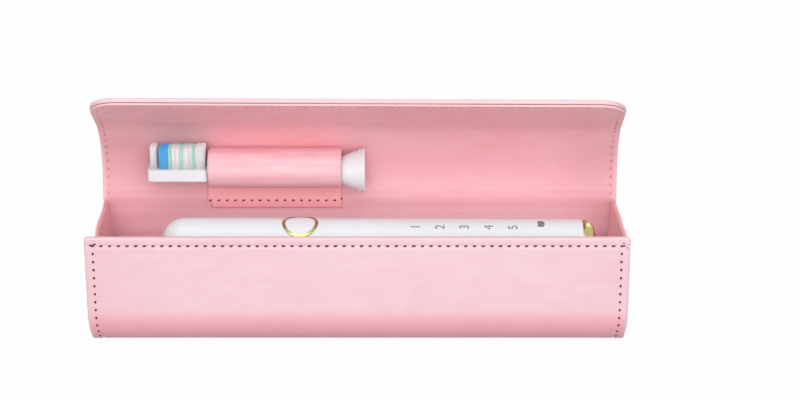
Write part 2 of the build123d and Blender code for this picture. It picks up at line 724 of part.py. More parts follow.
# ---------------------------------------------------------------- brush head
def brush_stem():
    """Head plate, neck and flared skirt in one moulding, with the socket for the shaft."""
    rim = BRUSH_LENGTH - SKIRT_RIM
    neck = turned_polygon(
        (NECK_START, 0),
        (NECK_START, NECK_THIN_RADIUS),
        (SKIRT_START, NECK_RADIUS),
        (rim, SKIRT_RADIUS),
        (BRUSH_LENGTH, SKIRT_RADIUS - SKIRT_RIM / 2),
        (BRUSH_LENGTH, 0),
    )
    plate = RectangleRounded(HEAD_LENGTH, 2 * HEAD_HALF_WIDTH, HEAD_CORNER)
    plate = extrude(plate, amount=HEAD_TOP - HEAD_BOTTOM)
    plate = chamfer(plate.edges().group_by(Axis.Z)[0], HEAD_CHAMFER)
    socket = rod(SOCKET_RADIUS + CLIP_WALL, BRUSH_LENGTH - SOCKET_LENGTH, BRUSH_LENGTH + PAST)
    groove = turned_polygon(*band_corners(proud=PAST))
    return neck + Pos(HEAD_LENGTH / 2, 0, HEAD_BOTTOM) * plate - socket - groove


def band_corners(proud):
    """The colour band's section on the skirt, in (x, radius)."""
    rim = BRUSH_LENGTH - SKIRT_RIM
    right = rim - BAND_TO_RIM
    left = right - BAND_LENGTH
    slope = (SKIRT_RADIUS - NECK_RADIUS) / (rim - SKIRT_START)
    left_radius, right_radius = [NECK_RADIUS + slope * (x - SKIRT_START) for x in (left, right)]
    return (
        (left, left_radius - BAND_DEPTH),
        (left, left_radius + proud),
        (right, right_radius + proud),
        (right, right_radius - BAND_DEPTH),
    )


def brush_band():
    return turned_polygon(*band_corners(proud=0))


def socket_clip():
    """The sleeve in the skirt that grips the shaft."""
    start, end = BRUSH_LENGTH - SOCKET_LENGTH, BRUSH_LENGTH - CLIP_RECESS
    return rod(SOCKET_RADIUS + CLIP_WALL, start, end) - rod(SOCKET_RADIUS, start - PAST, end + PAST)


def tufts(places, height):
    """Blocks of bristles on the head plate."""
    side = TUFT_HALF_WIDTH
    return one_shape([span(x0, x1, -side, side, HEAD_TOP, HEAD_TOP + height) for x0, x1 in places])


# ---------------------------------------------------------------- the nodes
CASE_NODES = {
    "case_cover": case_cover(),
    "front_board": front_board(),
    "base_board": base_board(),
    "back_board": back_board(),
    "bend_fillers": bend_fillers(),
    "case_lining": case_lining(),
    "hinge_strip": hinge_strip(),
    "case_magnets": case_magnets(),
    "left_end_panel": end_panel(-1),
    "right_end_panel": end_panel(1),
    "left_end_lining": end_lining(-1),
    "right_end_lining": end_lining(1),
    "foam_bed": foam_bed(),
    "front_seam_thread": front_thread(),
    "left_seam_thread": side_thread(-1),
    "right_seam_thread": side_thread(1),
    "lid_cover": lid_cover(),
    "lid_board": lid_board(),
    "lid_lining": lid_lining(),
    "lid_magnets": lid_magnets(),
    "lid_seam_thread": lid_thread(),
    "hinge_fold": hinge_fold(),
    "brush_loop": Pos(BRUSH_TIP, 0, 0) * brush_loop(),
    "loop_thread": Pos(BRUSH_TIP, 0, 0) * loop_thread(),
}

HANDLE_NODES = {
    "handle_shell": handle_shell(),
    "button_ring": button_ring(),
    "button": button(),
    "button_switch": button_switch(),
    "circuit_board": circuit_board(),
    "indicator_lights": indicator_lights(),
    "drive_shaft": drive_shaft(),
    "shaft_seal": shaft_seal(),
    "motor": motor(),
    "chassis": chassis(),
    "battery_cell": battery_cell(),
    "base_ring": base_ring(),
    "base_oring": base_oring(),
    "base_cap": base_cap(),
    "charging_coil": charging_coil(),
}

BRUSH_NODES = {
    "brush_stem": brush_stem(),
    "brush_band": brush_band(),
    "socket_clip": socket_clip(),
    "white_bristles": tufts(WHITE_TUFTS, TUFT_HEIGHT),
    "blue_bristles": tufts(BLUE_TUFTS, SHORT_TUFT_HEIGHT),
    "mint_bristles": tufts(MINT_TUFTS, TUFT_HEIGHT),
}

NODES = dict(CASE_NODES)
NODES.update({name: handle_frame(shape) for name, shape in HANDLE_NODES.items()})
NODES.update({name: brush_frame(shape) for name, shape in BRUSH_NODES.items()})

os.makedirs("parts", exist_ok=True)
for name, shape in NODES.items():
    export_step(shape, f"parts/{name}.step")
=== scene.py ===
"""Electric toothbrush travel case: leather, stitches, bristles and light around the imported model."""
import json
from math import cos, pi, radians, sin, sqrt

import bmesh
import bpy
import numpy as np
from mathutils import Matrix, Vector

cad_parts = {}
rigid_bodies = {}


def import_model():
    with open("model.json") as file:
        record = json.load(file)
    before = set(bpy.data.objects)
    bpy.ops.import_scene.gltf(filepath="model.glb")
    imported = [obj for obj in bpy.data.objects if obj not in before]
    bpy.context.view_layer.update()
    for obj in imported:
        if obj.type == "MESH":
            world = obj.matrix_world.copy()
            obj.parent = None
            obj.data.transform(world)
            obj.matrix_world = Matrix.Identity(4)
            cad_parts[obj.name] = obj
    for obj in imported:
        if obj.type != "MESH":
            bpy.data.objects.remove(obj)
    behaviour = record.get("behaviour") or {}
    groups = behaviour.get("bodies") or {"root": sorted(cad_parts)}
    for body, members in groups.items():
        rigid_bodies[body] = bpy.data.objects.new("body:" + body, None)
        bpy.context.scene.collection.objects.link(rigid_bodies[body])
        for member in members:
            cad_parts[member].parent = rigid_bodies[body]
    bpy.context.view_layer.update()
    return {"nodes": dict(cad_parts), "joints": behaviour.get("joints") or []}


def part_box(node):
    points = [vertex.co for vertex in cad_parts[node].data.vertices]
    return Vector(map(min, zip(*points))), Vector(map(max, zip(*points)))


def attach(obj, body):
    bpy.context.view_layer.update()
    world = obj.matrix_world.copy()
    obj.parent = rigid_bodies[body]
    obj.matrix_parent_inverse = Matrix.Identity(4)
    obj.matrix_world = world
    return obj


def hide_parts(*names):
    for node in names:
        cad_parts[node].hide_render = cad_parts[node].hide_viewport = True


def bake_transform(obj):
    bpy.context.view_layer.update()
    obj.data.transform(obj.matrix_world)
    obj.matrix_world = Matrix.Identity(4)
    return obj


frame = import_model()
MM = 0.001  # the frame is in metres; every size below is in millimetres
RANDOM = np.random.default_rng(7)


def node_box(node):
    """Lowest and highest corner of a CAD node, in millimetres."""
    low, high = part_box(node)
    return np.array(low) / MM, np.array(high) / MM


def joint(name):
    return next(j for j in frame["joints"] if j["name"] == name)


# ---------------------------------------------------------------- sizes, from the frame and the leather
HALF_LENGTH, HALF_DEPTH, FRONT_HEIGHT = node_box("case_cover")[1]
HINGE_Y, HINGE_Z = np.array(joint("lid_hinge")["pos_m"][1:]) / MM
BOTTOM_RADIUS = 14.0  # of the two bends under the case, outside
FLAT_HALF = HALF_DEPTH - BOTTOM_RADIUS  # the flat of the base, front and back of its middle
WALL = 2 * (HALF_DEPTH - HINGE_Y)  # both skins and the board between them
SKIN = 1.0  # each leather skin
LID_LEAN = 17.0  # degrees it leans back where it leaves the hinge
LID_BASE = 2.5  # straight part next to the hinge
LID_RADIUS = 30.5  # of its curve, inside
LID_TURN = 72.0  # degrees of its curve
LID_TIP = 27.93  # straight part up to its free edge
LID_CORNER = 12.0  # round of its two corners
FRONT_CORNER = 1.2  # round of the two corners of the front rim
SEAM_INSET = 3.5  # from the edge to the stitches
LID_SEAM_INSET = 2.8
LID_TWIST = 0.5  # the left end of the free edge stands this much higher, the right end lower
BEND_PINCH = 0.6  # the ends draw in where the walls turn under
BEND_PINCH_WIDTH = 6.0
HINGE_SMOOTH = 1.6  # spread of the easing at the hinge
HINGE_PINCH = 0.15  # share of the thickness lost where no board stiffens the leather

LOOP_ANGLE = 15.0  # degrees; the way from the brush's neck to the lid rises this much
HANDLE_TILT = 14.0  # degrees that the button's side is turned towards the front
BRUSH_Y, BRUSH_Z = (sum(node_box("socket_clip")) / 2)[1:]
HANDLE_Y, HANDLE_Z = np.array(joint("shaft_turn")["pos_m"][1:]) / MM
SHELL_LOW, SHELL_HIGH = node_box("handle_shell")
HANDLE_RADIUS = (SHELL_HIGH[1] - SHELL_LOW[1]) / 2

STITCH_PITCH = 3.52
STITCH_LENGTH = 1.8
STITCH_WIDTH = 0.8
STITCH_HEIGHT = 0.42
BASE_SINK = 0.18  # stitches under the base are pressed in this much more


# ---------------------------------------------------------------- meshes
def new_object(name, points, faces, smooth=True):
    """A mesh object from points in millimetres."""
    mesh = bpy.data.meshes.new(name)
    mesh.from_pydata((np.asarray(points) * MM).tolist(), [], faces)
    mesh.validate()
    mesh.polygons.foreach_set("use_smooth", [smooth] * len(mesh.polygons))
    piece = bpy.data.objects.new(name, mesh)
    bpy.context.scene.collection.objects.link(piece)
    return piece


def joined(parts):
    """The points and faces of several parts as one."""
    faces, start = [], 0
    for points, part_faces in parts:
        faces += [tuple(start + i for i in face) for face in part_faces]
        start += len(points)
    return np.concatenate([points for points, _ in parts]), faces


def grid_faces(rows, columns, start=0, flip=False):
    """The faces of a grid whose points are numbered row by row."""
    firsts = [start + r * columns + c for r in range(rows - 1) for c in range(columns - 1)]
    if flip:
        return [(a, a + 1, a + columns + 1, a + columns) for a in firsts]
    return [(a, a + columns, a + columns + 1, a + 1) for a in firsts]


def grid_edge(rows, columns):
    """The places (row, column) round a grid, along its first row first."""
    edge = [(0, c) for c in range(columns)] + [(r, columns - 1) for r in range(1, rows)]
    edge += [(rows - 1, c) for c in range(columns - 2, -1, -1)]
    return edge + [(r, 0) for r in range(rows - 2, 0, -1)]


def band_faces(low, high):
    """The faces between two closed loops of points."""
    return [(b, a, c, d) for a, b, c, d in zip(low, low[1:] + low[:1], high, high[1:] + high[:1])]


def tube_faces(rings, sides):
    """The faces of a tube of rings, closed at both ends."""
    faces = []
    for i in range(rings - 1):
        for k in range(sides):
            a, b = i * sides + k, i * sides + (k + 1) % sides
            faces.append((a, b, b + sides, a + sides))
    return faces + [tuple(range(sides - 1, -1, -1)), tuple(range((rings - 1) * sides, rings * sides))]


def point_attribute(piece, name, values):
    """A number at each point, for a material to read."""
    attribute = piece.data.attributes.new(name, "FLOAT", "POINT")
    attribute.data.foreach_set("value", np.asarray(values, np.float32))


# ---------------------------------------------------------------- lines and slow changes
def smooth_step(value, low, high):
    t = np.clip((value - low) / (high - low), 0, 1)
    return t * t * (3 - 2 * t)


def plateau(value, rise, top, end, foot):
    """Rises from 0 to 1 between the first two places and falls back between the last two."""
    return smooth_step(value, rise, top) * (1 - smooth_step(value, end, foot))


def bump(value, centre, width):
    return np.exp(-(((value - centre) / width) ** 2))


def run_along(line):
    """The length of a line up to each of its points."""
    return np.r_[0, np.cumsum(np.linalg.norm(np.diff(line, axis=0), axis=1))]


def resample(line, run, places):
    return np.stack([np.interp(places, run, values) for values in line.T], axis=-1)


def unit_ways(line):
    ways = np.gradient(line, axis=0)
    return ways / np.linalg.norm(ways, axis=1)[:, None]


# ---------------------------------------------------------------- the folded strip: case and lid in one
PATH_STEP = 0.25


def bottom_bends(radius, count):
    """The front and the back quarter turn under the case, each on the way from front to back."""
    turns = np.radians(np.linspace(0, 90, count))
    front = [(-FLAT_HALF - radius * cos(a), BOTTOM_RADIUS - radius * sin(a)) for a in turns]
    return front, [(FLAT_HALF + radius * sin(a), BOTTOM_RADIUS - radius * cos(a)) for a in turns]


def strip_middle():
    """Dense points down the middle of the leather, from the front rim to the lid's free edge."""
    half = HALF_DEPTH - WALL / 2
    front = [(-half, z) for z in np.arange(FRONT_HEIGHT, BOTTOM_RADIUS, -PATH_STEP)]
    bend, bend_back = bottom_bends(BOTTOM_RADIUS - WALL / 2, 60)
    base = [(y, WALL / 2) for y in np.arange(-FLAT_HALF, FLAT_HALF, PATH_STEP)]
    back = [(half, z) for z in np.arange(BOTTOM_RADIUS + PATH_STEP, HINGE_Z, PATH_STEP)]
    lean, lean_out = radians(LID_LEAN), radians(LID_TURN - LID_LEAN)
    foot = np.array([HINGE_Y, HINGE_Z])
    up, out = np.array([sin(lean), cos(lean)]), np.array([cos(lean), -sin(lean)])
    radius = LID_RADIUS + WALL / 2
    centre = foot + up * LID_BASE - out * radius
    base_of_lid = [foot + up * step for step in np.arange(0, LID_BASE, PATH_STEP)]
    angles = np.radians(np.linspace(-LID_LEAN, LID_TURN - LID_LEAN, 160))
    curve = [centre + radius * np.array([cos(a), sin(a)]) for a in angles]
    tip_way = np.array([-sin(lean_out), cos(lean_out)])
    tip = [curve[-1] + tip_way * step for step in np.linspace(PATH_STEP, LID_TIP, 112)]
    points = np.array(front + bend + base + bend_back + back + base_of_lid + curve + tip)
    return points[np.r_[True, np.linalg.norm(np.diff(points, axis=0), axis=1) > 1e-6]]


MIDDLE = strip_middle()
PATH = run_along(MIDDLE)
STRIP_LENGTH = PATH[-1]
HINGE_AT = PATH[np.argmin(np.hypot(MIDDLE[:, 0] - HINGE_Y, MIDDLE[:, 1] - HINGE_Z))]
FRONT_BEND_AT = FRONT_HEIGHT - BOTTOM_RADIUS + (BOTTOM_RADIUS - WALL / 2) * pi / 4
BACK_BEND_AT = FRONT_BEND_AT + (BOTTOM_RADIUS - WALL / 2) * pi / 2 + 2 * FLAT_HALF
LID_CURVE_AT = HINGE_AT + LID_BASE


def smoothed_path():
    """The middle line with its corner at the hinge eased, resampled evenly, with its outward normals."""
    places = np.arange(0, STRIP_LENGTH, 0.2)
    line = resample(MIDDLE, PATH, places)
    eased = line.copy()
    for i in np.flatnonzero(np.abs(places - HINGE_AT) < 4 * HINGE_SMOOTH):
        weights = bump(places, places[i], HINGE_SMOOTH)
        eased[i] = weights @ line / weights.sum()
    ways = unit_ways(eased)
    return places, eased, np.c_[ways[:, 1], -ways[:, 0]]


PLACES, LINE, NORMALS = smoothed_path()


def strip_point(x, at, depth):
    """Points in space for places on the strip. Depth runs from 0, its inner face, to WALL, its outer face."""
    x, at, depth = np.broadcast_arrays(np.asarray(x, float), np.asarray(at, float), np.asarray(depth, float))
    y, z = np.interp(at, PLACES, LINE[:, 0]), np.interp(at, PLACES, LINE[:, 1])
    ny, nz = np.interp(at, PLACES, NORMALS[:, 0]), np.interp(at, PLACES, NORMALS[:, 1])
    pinch = 1 - HINGE_PINCH * plateau(at, HINGE_AT - 7.2, HINGE_AT - 4, HINGE_AT + 1.0, HINGE_AT + 3.4)
    reach = (depth - WALL / 2) * pinch
    twist = LID_TWIST * (-x / HALF_LENGTH) * smooth_step(at, HINGE_AT + 6, STRIP_LENGTH)
    return np.stack([x, y + ny * reach, z + nz * reach + twist], axis=-1)


def draw_in(at):
    """How far the ends draw in at places along the strip."""
    return BEND_PINCH * (bump(at, FRONT_BEND_AT, BEND_PINCH_WIDTH) + bump(at, BACK_BEND_AT, BEND_PINCH_WIDTH))


def strip_rows(inset):
    """Places along the strip and the half length at each, for an outline taken in by an inset."""
    corner, lid_corner = FRONT_CORNER - inset * 0.9, LID_CORNER - inset
    side, end = HALF_LENGTH - inset, STRIP_LENGTH - inset - lid_corner
    turns, last_turns = np.radians(np.linspace(0, 90, 7)), np.radians(np.linspace(0, 90, 22))
    first = [(inset + corner * (1 - cos(a)), side - corner * (1 - sin(a))) for a in turns]
    seam = [2.0, 2.5, 2.9, 3.2, 3.5, 3.8, 4.1, 4.6, 5.4, 6.8]
    even = list(np.arange(8.8, HINGE_AT - 8, 2.1))
    hinge = list(np.arange(HINGE_AT - 7.6, HINGE_AT + 5.2, 0.55))
    lid = list(np.arange(HINGE_AT + 6, STRIP_LENGTH - LID_CORNER - 1, 1.9))
    straight = [(at, side) for at in seam + even + hinge + lid]
    last = [(end + lid_corner * sin(a), side - lid_corner * (1 - cos(a))) for a in last_turns]
    rows = np.array(first + straight + last)
    return rows[:, 0], rows[:, 1] - draw_in(rows[:, 0])


def strip_columns():
    """Shares of the half length, closer together near the seams."""
    insets = [0, 0.5, 0.9, 1.3, 1.7, 2.0, 2.3, 2.6, 2.9, 3.3, 3.8, 4.6, 5.8, 7.2, 9.0, 11.0, 13.5, 16.5]
    side = [1 - i / HALF_LENGTH for i in insets]
    half = side + list(np.linspace(side[-1], 0, 34)[1:])
    return np.array([-s for s in half] + half[-2::-1])


def leather(name, face, rings, back, relief, tones):
    """A closed leather skin over the whole strip.

    Face and back are (inset, depth). Rings, (inset, depth, groove), lead from one to the other round the
    edge, where groove is 1 in the shade between two skins. Relief gives how far the face sinks at each place.
    Tones name the slow changes of colour and give the share of each at a place.
    """
    columns = strip_columns()

    def layer(inset, depth, sunk):
        at, half = strip_rows(inset)
        x = half[:, None] * columns[None, :]
        at = np.broadcast_to(at[:, None], x.shape)
        sink = relief(x, at, half[:, None]) * sunk
        return strip_point(x, at, depth + (sink if depth < WALL / 2 else -sink))

    grids = [layer(*face, 1.0), layer(*back, 0.0)]
    rows, count = grids[0].shape[:2]
    edge, size = grid_edge(rows, count), rows * count
    points = [grid.reshape(-1, 3) for grid in grids]
    faces = grid_faces(rows, count, 0, flip=True) + grid_faces(rows, count, size)
    loops = [[r * count + k for r, k in edge]]
    grooves, tail = [0.0] * (2 * size), []
    for inset, depth, groove in rings:
        grid = layer(inset, depth, 0.0)
        ring_at, ring_half = strip_rows(inset)
        points.append(np.array([grid[r, k] for r, k in edge]))
        loops.append(list(range(len(grooves), len(grooves) + len(edge))))
        grooves += [groove] * len(edge)
        tail += [(ring_half[r] * columns[k], ring_at[r]) for r, k in edge]
    loops.append([size + i for i in loops[0]])
    for low, high in zip(loops, loops[1:]):
        faces += band_faces(low, high)
    if face[1] > WALL / 2:
        faces = [f[::-1] for f in faces]
    piece = new_object(name, np.concatenate(points), faces)
    at, half = strip_rows(face[0])
    x = half[:, None] * columns[None, :]
    rim = np.minimum(half[:, None] - np.abs(x), np.minimum(at, STRIP_LENGTH - at)[:, None]).ravel()
    point_attribute(piece, "rim", np.r_[rim, rim, np.zeros(len(tail))])
    point_attribute(piece, "groove", grooves)
    tail_x, tail_at = np.array(tail).T
    for tone, share in tones.items():
        flat = share(x, at[:, None] + 0 * x).ravel()
        point_attribute(piece, tone, np.r_[flat, flat, share(tail_x, tail_at)])
    return piece


def seam_distance(x, at, half):
    """Distance from a place on the strip to the nearest row of stitches."""
    margin = half - np.abs(x)
    side_case = np.abs(margin - SEAM_INSET) + 9 * smooth_step(at, HINGE_AT - 9, HINGE_AT - 6)
    side_lid = np.abs(margin - LID_SEAM_INSET) + 9 * (1 - smooth_step(at, HINGE_AT + 4, HINGE_AT + 7))
    front = np.abs(at - SEAM_INSET)
    free = np.abs(STRIP_LENGTH - at - LID_SEAM_INSET)
    return np.minimum(np.minimum(side_case, side_lid), np.minimum(front, free))


def waves(x, at, seed, scale):
    """A slow random unevenness from -1 to 1."""
    draw = np.random.default_rng(seed)
    total = np.zeros(np.broadcast(x, at).shape)
    for _ in range(9):
        angle, phase = draw.uniform(0, pi), draw.uniform(0, 2 * pi)
        rate = draw.uniform(0.6, 1.9) / scale
        total = total + np.sin((x * cos(angle) + at * sin(angle)) * rate + phase)
    return total / 9


def outer_relief(x, at, half):
    """The cover sinks at its seams and lies a little uneven between them."""
    seam = 0.24 * bump(seam_distance(x, at, half), 0, 0.75)
    uneven = 0.09 * (1 + waves(x, at, 3, 9))
    return seam + uneven * smooth_step(half - np.abs(x), 2, 9) * smooth_step(at, 3, 9)


def lining_relief(x, at, half):
    """The lining sinks at its seams and puckers in short creases that run in from the lid's sides."""
    seam = 0.16 * bump(seam_distance(x, at, half), 0, 0.7)
    margin = half - np.abs(x)
    on_lid = plateau(at, HINGE_AT + 5, HINGE_AT + 12, STRIP_LENGTH - 22, STRIP_LENGTH - 8)
    crease = np.sin(at * 1.55 + 1.7 * np.sin(at * 0.37 + np.sign(x)) + 0.12 * margin) ** 3
    pucker = 0.20 * bump(margin, 3, 7.5) * on_lid * (0.5 + 0.5 * crease)
    return seam + pucker + 0.05 * (1 + waves(x, at, 5, 7))


def outer_stretch_and_painted_shade(x, at):
    """Deeper round the two bends under the case, partly for the stretched leather and partly as painted shade
    where it turns under, and painted shade towards the front's ends.
    """
    front = plateau(at, FRONT_BEND_AT - 14.5, FRONT_BEND_AT - 7, FRONT_BEND_AT + 8, FRONT_BEND_AT + 16)
    back = plateau(at, BACK_BEND_AT - 16, BACK_BEND_AT - 8, BACK_BEND_AT + 5, BACK_BEND_AT + 12)
    ends = 0.16 * smooth_step(-x, 50, 112) + 0.08 * smooth_step(x, 50, 112)
    return np.maximum(front + back, ends * (1 - smooth_step(at, FRONT_BEND_AT - 5, FRONT_BEND_AT + 10)))


def lining_painted_light(x, at):
    """Painted light: the lining is made palest on the back wall, behind the handle, where the case shades it.
    """
    return plateau(at, BACK_BEND_AT, BACK_BEND_AT + 12, HINGE_AT - 13, HINGE_AT - 1)


def lining_painted_shade(x, at):
    """Painted shade: the lining is made a little deeper low on the lid, and towards the ends of the lid and
    the back wall.
    """
    ends = 0.95 * smooth_step(-x, 45, 108) + 0.55 * smooth_step(x, 80, 108)
    upright = plateau(at, BACK_BEND_AT, BACK_BEND_AT + 12, HINGE_AT + 22, HINGE_AT + 42)
    low = plateau(at, HINGE_AT - 13, HINGE_AT - 1, HINGE_AT + 14, HINGE_AT + 34)
    return np.clip(ends * upright + 0.58 * low, 0, 1)


OUTER_RINGS = [(0.62, WALL - 0.05, 0), (0.34, WALL - 0.2, 0), (0.12, WALL - 0.48, 0), (0.02, WALL - 0.85, 0)]
OUTER_RINGS += [(0.0, 1.8, 0), (0.04, 1.5, 0.1), (0.16, 1.3, 0.8), (0.45, 1.18, 1), (0.9, 1.15, 1)]
# The cover's "stretch" tone: stretched leather and painted shade at the bends, painted shade at the front's
# ends.
OUTER_TONES = {"stretch": outer_stretch_and_painted_shade}
LINING_RINGS = [(0.62, 0.03, 0), (0.42, 0.14, 0), (0.32, 0.34, 0)]
LINING_RINGS += [(0.32, SKIN - 0.3, 0), (0.45, SKIN - 0.08, 0.9)]
# On the lining, "shade" carries painted light and "stretch" carries painted shade.
LINING_TONES = {"shade": lining_painted_light, "stretch": lining_painted_shade}
outer_skin = leather("outer_leather", (1.0, WALL), OUTER_RINGS, (1.0, WALL - SKIN), outer_relief, OUTER_TONES)
lining_skin = leather("lining_leather", (0.95, 0.0), LINING_RINGS, (0.95, SKIN), lining_relief, LINING_TONES)


# ---------------------------------------------------------------- stitches
def stitch_template(length, width, height):
    """One stitch along X: a short twist of thread that dips into its holes at both ends."""
    stations, sides = np.linspace(-1, 1, 7), 8
    points = []
    for t in stations:
        girth = max(0.12, sqrt(max(0.0, 1 - t**4)))
        for k in range(sides):
            a = 2 * pi * k / sides
            z = height * (0.5 * girth * sin(a) + 0.25 - 0.75 * t**4)
            points.append((t * length / 2, width / 2 * girth * cos(a), z))
    return np.array(points), tube_faces(len(stations), sides)


def stitches(name, runs):
    """All the stitches of one seam. Each run is (centres, ways, outs, length, width, zigzag)."""
    parts = []
    for centres, ways, outs, length, width, zigzag in runs:
        for turn, (centre, way, out) in enumerate(zip(centres, ways, outs)):
            stretch, slant = 1 + RANDOM.uniform(-0.1, 0.1), RANDOM.uniform(0.03, 0.16)
            slant += zigzag * (1 if turn % 2 else -1) * RANDOM.uniform(0.6, 1.2)
            template, faces = stitch_template(length * stretch, width, STITCH_HEIGHT)
            way = way / np.linalg.norm(way)
            across = np.cross(out, way)
            across /= np.linalg.norm(across)
            out = np.cross(way, across)
            way = way * cos(slant) + across * sin(slant)
            across = np.cross(out, way)
            parts.append((centre + template @ np.array([way, across, out]), faces))
    return new_object(name, *joined(parts))


def seam_run(x, at, depth, out_sign, length=STITCH_LENGTH, width=STITCH_WIDTH, zigzag=0.0, sink=0.16):
    """Stitches at even steps along a line on the strip, given by dense places on it."""
    line = strip_point(x, at, depth)
    run = run_along(line)
    steps = np.linspace(0, run[-1], int(run[-1] / STITCH_PITCH) + 1)
    near, far = np.clip(steps - 0.3, 0, run[-1]), np.clip(steps + 0.3, 0, run[-1])
    places = np.interp(steps, run, at)
    outs = np.c_[np.zeros(len(steps)), resample(NORMALS, PLACES, places)] * out_sign
    under = plateau(places, FRONT_BEND_AT, FRONT_BEND_AT + 8, BACK_BEND_AT - 8, BACK_BEND_AT)
    centres = resample(line, run, steps) - outs * (sink + BASE_SINK * under)[:, None]
    return centres, resample(line, run, far) - resample(line, run, near), outs, length, width, zigzag


def side_line(inset, start, end, side):
    """Dense places along one side of the strip between two places."""
    at, half = strip_rows(inset)
    places = np.arange(start, end, 0.4)
    return side * np.interp(places, at, half), places


def lid_line(inset, low=8.0):
    """Dense places up one side of the lid, across its free edge and down the other side."""
    at, half = strip_rows(inset)
    keep = at > HINGE_AT + low
    at, half = at[keep], half[keep]
    across = np.linspace(-half[-1], half[-1], 300)[1:-1]
    return np.r_[-half, across, half[::-1]], np.r_[at, np.full(len(across), at[-1]), at[::-1]]


def front_line():
    half = HALF_LENGTH - SEAM_INSET
    return np.linspace(-half, half, 400), np.full(400, SEAM_INSET)


FRONT_TACKS = [(-108.3, 2.8, 1.9), (-109.9, 3.1, 0.9)]  # (x, place, length)
FRONT_TACKS += [(109.7, 2.2, 0.7), (110.0, 3.4, 0.7), (111.0, 4.2, 0.6)]


def corner_tacks():
    """Short extra stitches that lock the thread at the two ends of the front row."""
    way, out = np.array([1.0, 0, 0.12]), np.array([0, -1.0, 0])
    spots = [(strip_point(x, at, WALL) + [0, 0.12, 0], length) for x, at, length in FRONT_TACKS]
    return [([spot], [way], [out], length, 0.7, 0.0) for spot, length in spots]


front_runs = [seam_run(*front_line(), WALL, 1), seam_run(*front_line(), 0, -1)]
front_stitches = stitches("front_stitches", front_runs + corner_tacks())
SIDE_START, SIDE_END = SEAM_INSET + 3.4, HINGE_AT - 8.5
side_stitches = [
    stitches(name, [seam_run(*side_line(SEAM_INSET, SIDE_START, SIDE_END, side), WALL, 1, 1.5, 0.95)])
    for side, name in ((-1, "left_side_stitches"), (1, "right_side_stitches"))
]


def inner_lid_runs():
    """On the lining the stitches zigzag up the sides and are small along the free edge."""
    x, at = lid_line(LID_SEAM_INSET, 1.5)
    turn = at > STRIP_LENGTH - 22
    first, last = np.argmax(turn), len(turn) - np.argmax(turn[::-1])
    sides = [seam_run(x[a:b], at[a:b], 0, -1, 1.7, 0.6, 0.55, 0.05) for a, b in ((0, first), (last, len(x)))]
    return sides, [seam_run(x[first:last], at[first:last], 0, -1, 2.6, 0.34)]


side_runs, edge_run = inner_lid_runs()
lid_stitches = stitches("lid_stitches", [seam_run(*lid_line(LID_SEAM_INSET), WALL, 1)])
lid_side_stitches = stitches("lid_side_stitches", side_runs)
lid_edge_stitches = stitches("lid_edge_stitches", edge_run)


# ---------------------------------------------------------------- end panels
PANEL_DROP = [(-31.0, 1.2), (-20.0, 0.6), (-2.0, 0.1), (12.0, 0.3), (19.0, 1.6), (25.0, 4.0), (31.0, 8.0)]
PANEL_BOW_AT = [-31.0, -24.5, -17.5, -11.0, -4.0, 3.0, 11.0, 16.0, 25.0, 31.0]
PANEL_BOW = {  # how far the free edge of the left and the right panel leans out at those places
    -1: [-0.8, -0.5, 0.15, 0.45, 0.35, 0.4, 0.9, 1.3, 1.9, 1.9],
    1: [2.4, 2.4, 2.1, 2.0, 1.95, 1.7, 1.6, 1.6, 1.9, 1.9],
}
PANEL_THICK = 0.75
PANEL_BEND = 1.3  # radius where the panel turns out into its flange
FACING_THICK = 0.42
FACING_DROP = 0.5  # the lining ends this far below the panel's top edge
PANEL_LOW, PANEL_HIGH = node_box("right_end_panel")
PANEL_FACE, FLANGE_END = PANEL_LOW[0], PANEL_HIGH[0]


def panel_top(y):
    return FRONT_HEIGHT - np.interp(y, *np.array(PANEL_DROP).T)


def u_outline(inset, drop):
    """Points (y, z) down the front, under the base and up the back, all at an inset from the outer face."""
    half = HALF_DEPTH - inset
    front = [(-half, z) for z in np.linspace(panel_top(-half) - drop, BOTTOM_RADIUS, 24)[:-1]]
    bend, bend_back = bottom_bends(BOTTOM_RADIUS - inset, 17)
    base = [(y, inset) for y in np.linspace(-FLAT_HALF, FLAT_HALF, 30)[1:-1]]
    back = [(half, z) for z in np.linspace(BOTTOM_RADIUS, panel_top(half) - drop, 24)[1:]]
    return np.array(front + bend + base + bend_back + back)


SIDE_COUNT = 23 + 9  # points from a top corner to the middle of a bend


def patch(inset, drop):
    """A grid of (y, z) inside the outline at an inset: rows go up, columns go from front to back."""
    outline = u_outline(inset, drop)
    left, right = outline[:SIDE_COUNT][::-1], outline[-SIDE_COUNT:]
    bottom = outline[SIDE_COUNT - 1 : len(outline) - SIDE_COUNT + 1]
    share = (bottom[:, 0] - bottom[0, 0]) / (bottom[-1, 0] - bottom[0, 0])
    top_y = left[-1, 0] + share * (right[-1, 0] - left[-1, 0])
    top = np.c_[top_y, panel_top(top_y) - drop]
    v = np.linspace(0, 1, SIDE_COUNT)[:, None, None]
    u = share[None, :, None]
    rule = (1 - v) * bottom[None] + v * top[None] + (1 - u) * left[:, None] + u * right[:, None]
    corners = (1 - u) * (1 - v) * bottom[0] + u * (1 - v) * bottom[-1]
    return rule - (corners + (1 - u) * v * top[0] + u * v * top[-1])


def lean(x, y, z, side):
    """How far an end panel leans out. It grows towards the free edge and dies out over the flange."""
    share = np.clip((FLANGE_END - x) / (FLANGE_END - PANEL_FACE - PANEL_THICK), 0, 1)
    return np.interp(y, PANEL_BOW_AT, PANEL_BOW[side]) * smooth_step(z, 12, 46) * share


def outer_draw_in(line):
    """How far the case's ends draw in beside each point of an outline."""
    nearest = [np.argmin(np.hypot(*(LINE - p).T) + 99 * (PLACES > HINGE_AT)) for p in line]
    return draw_in(PLACES[nearest])


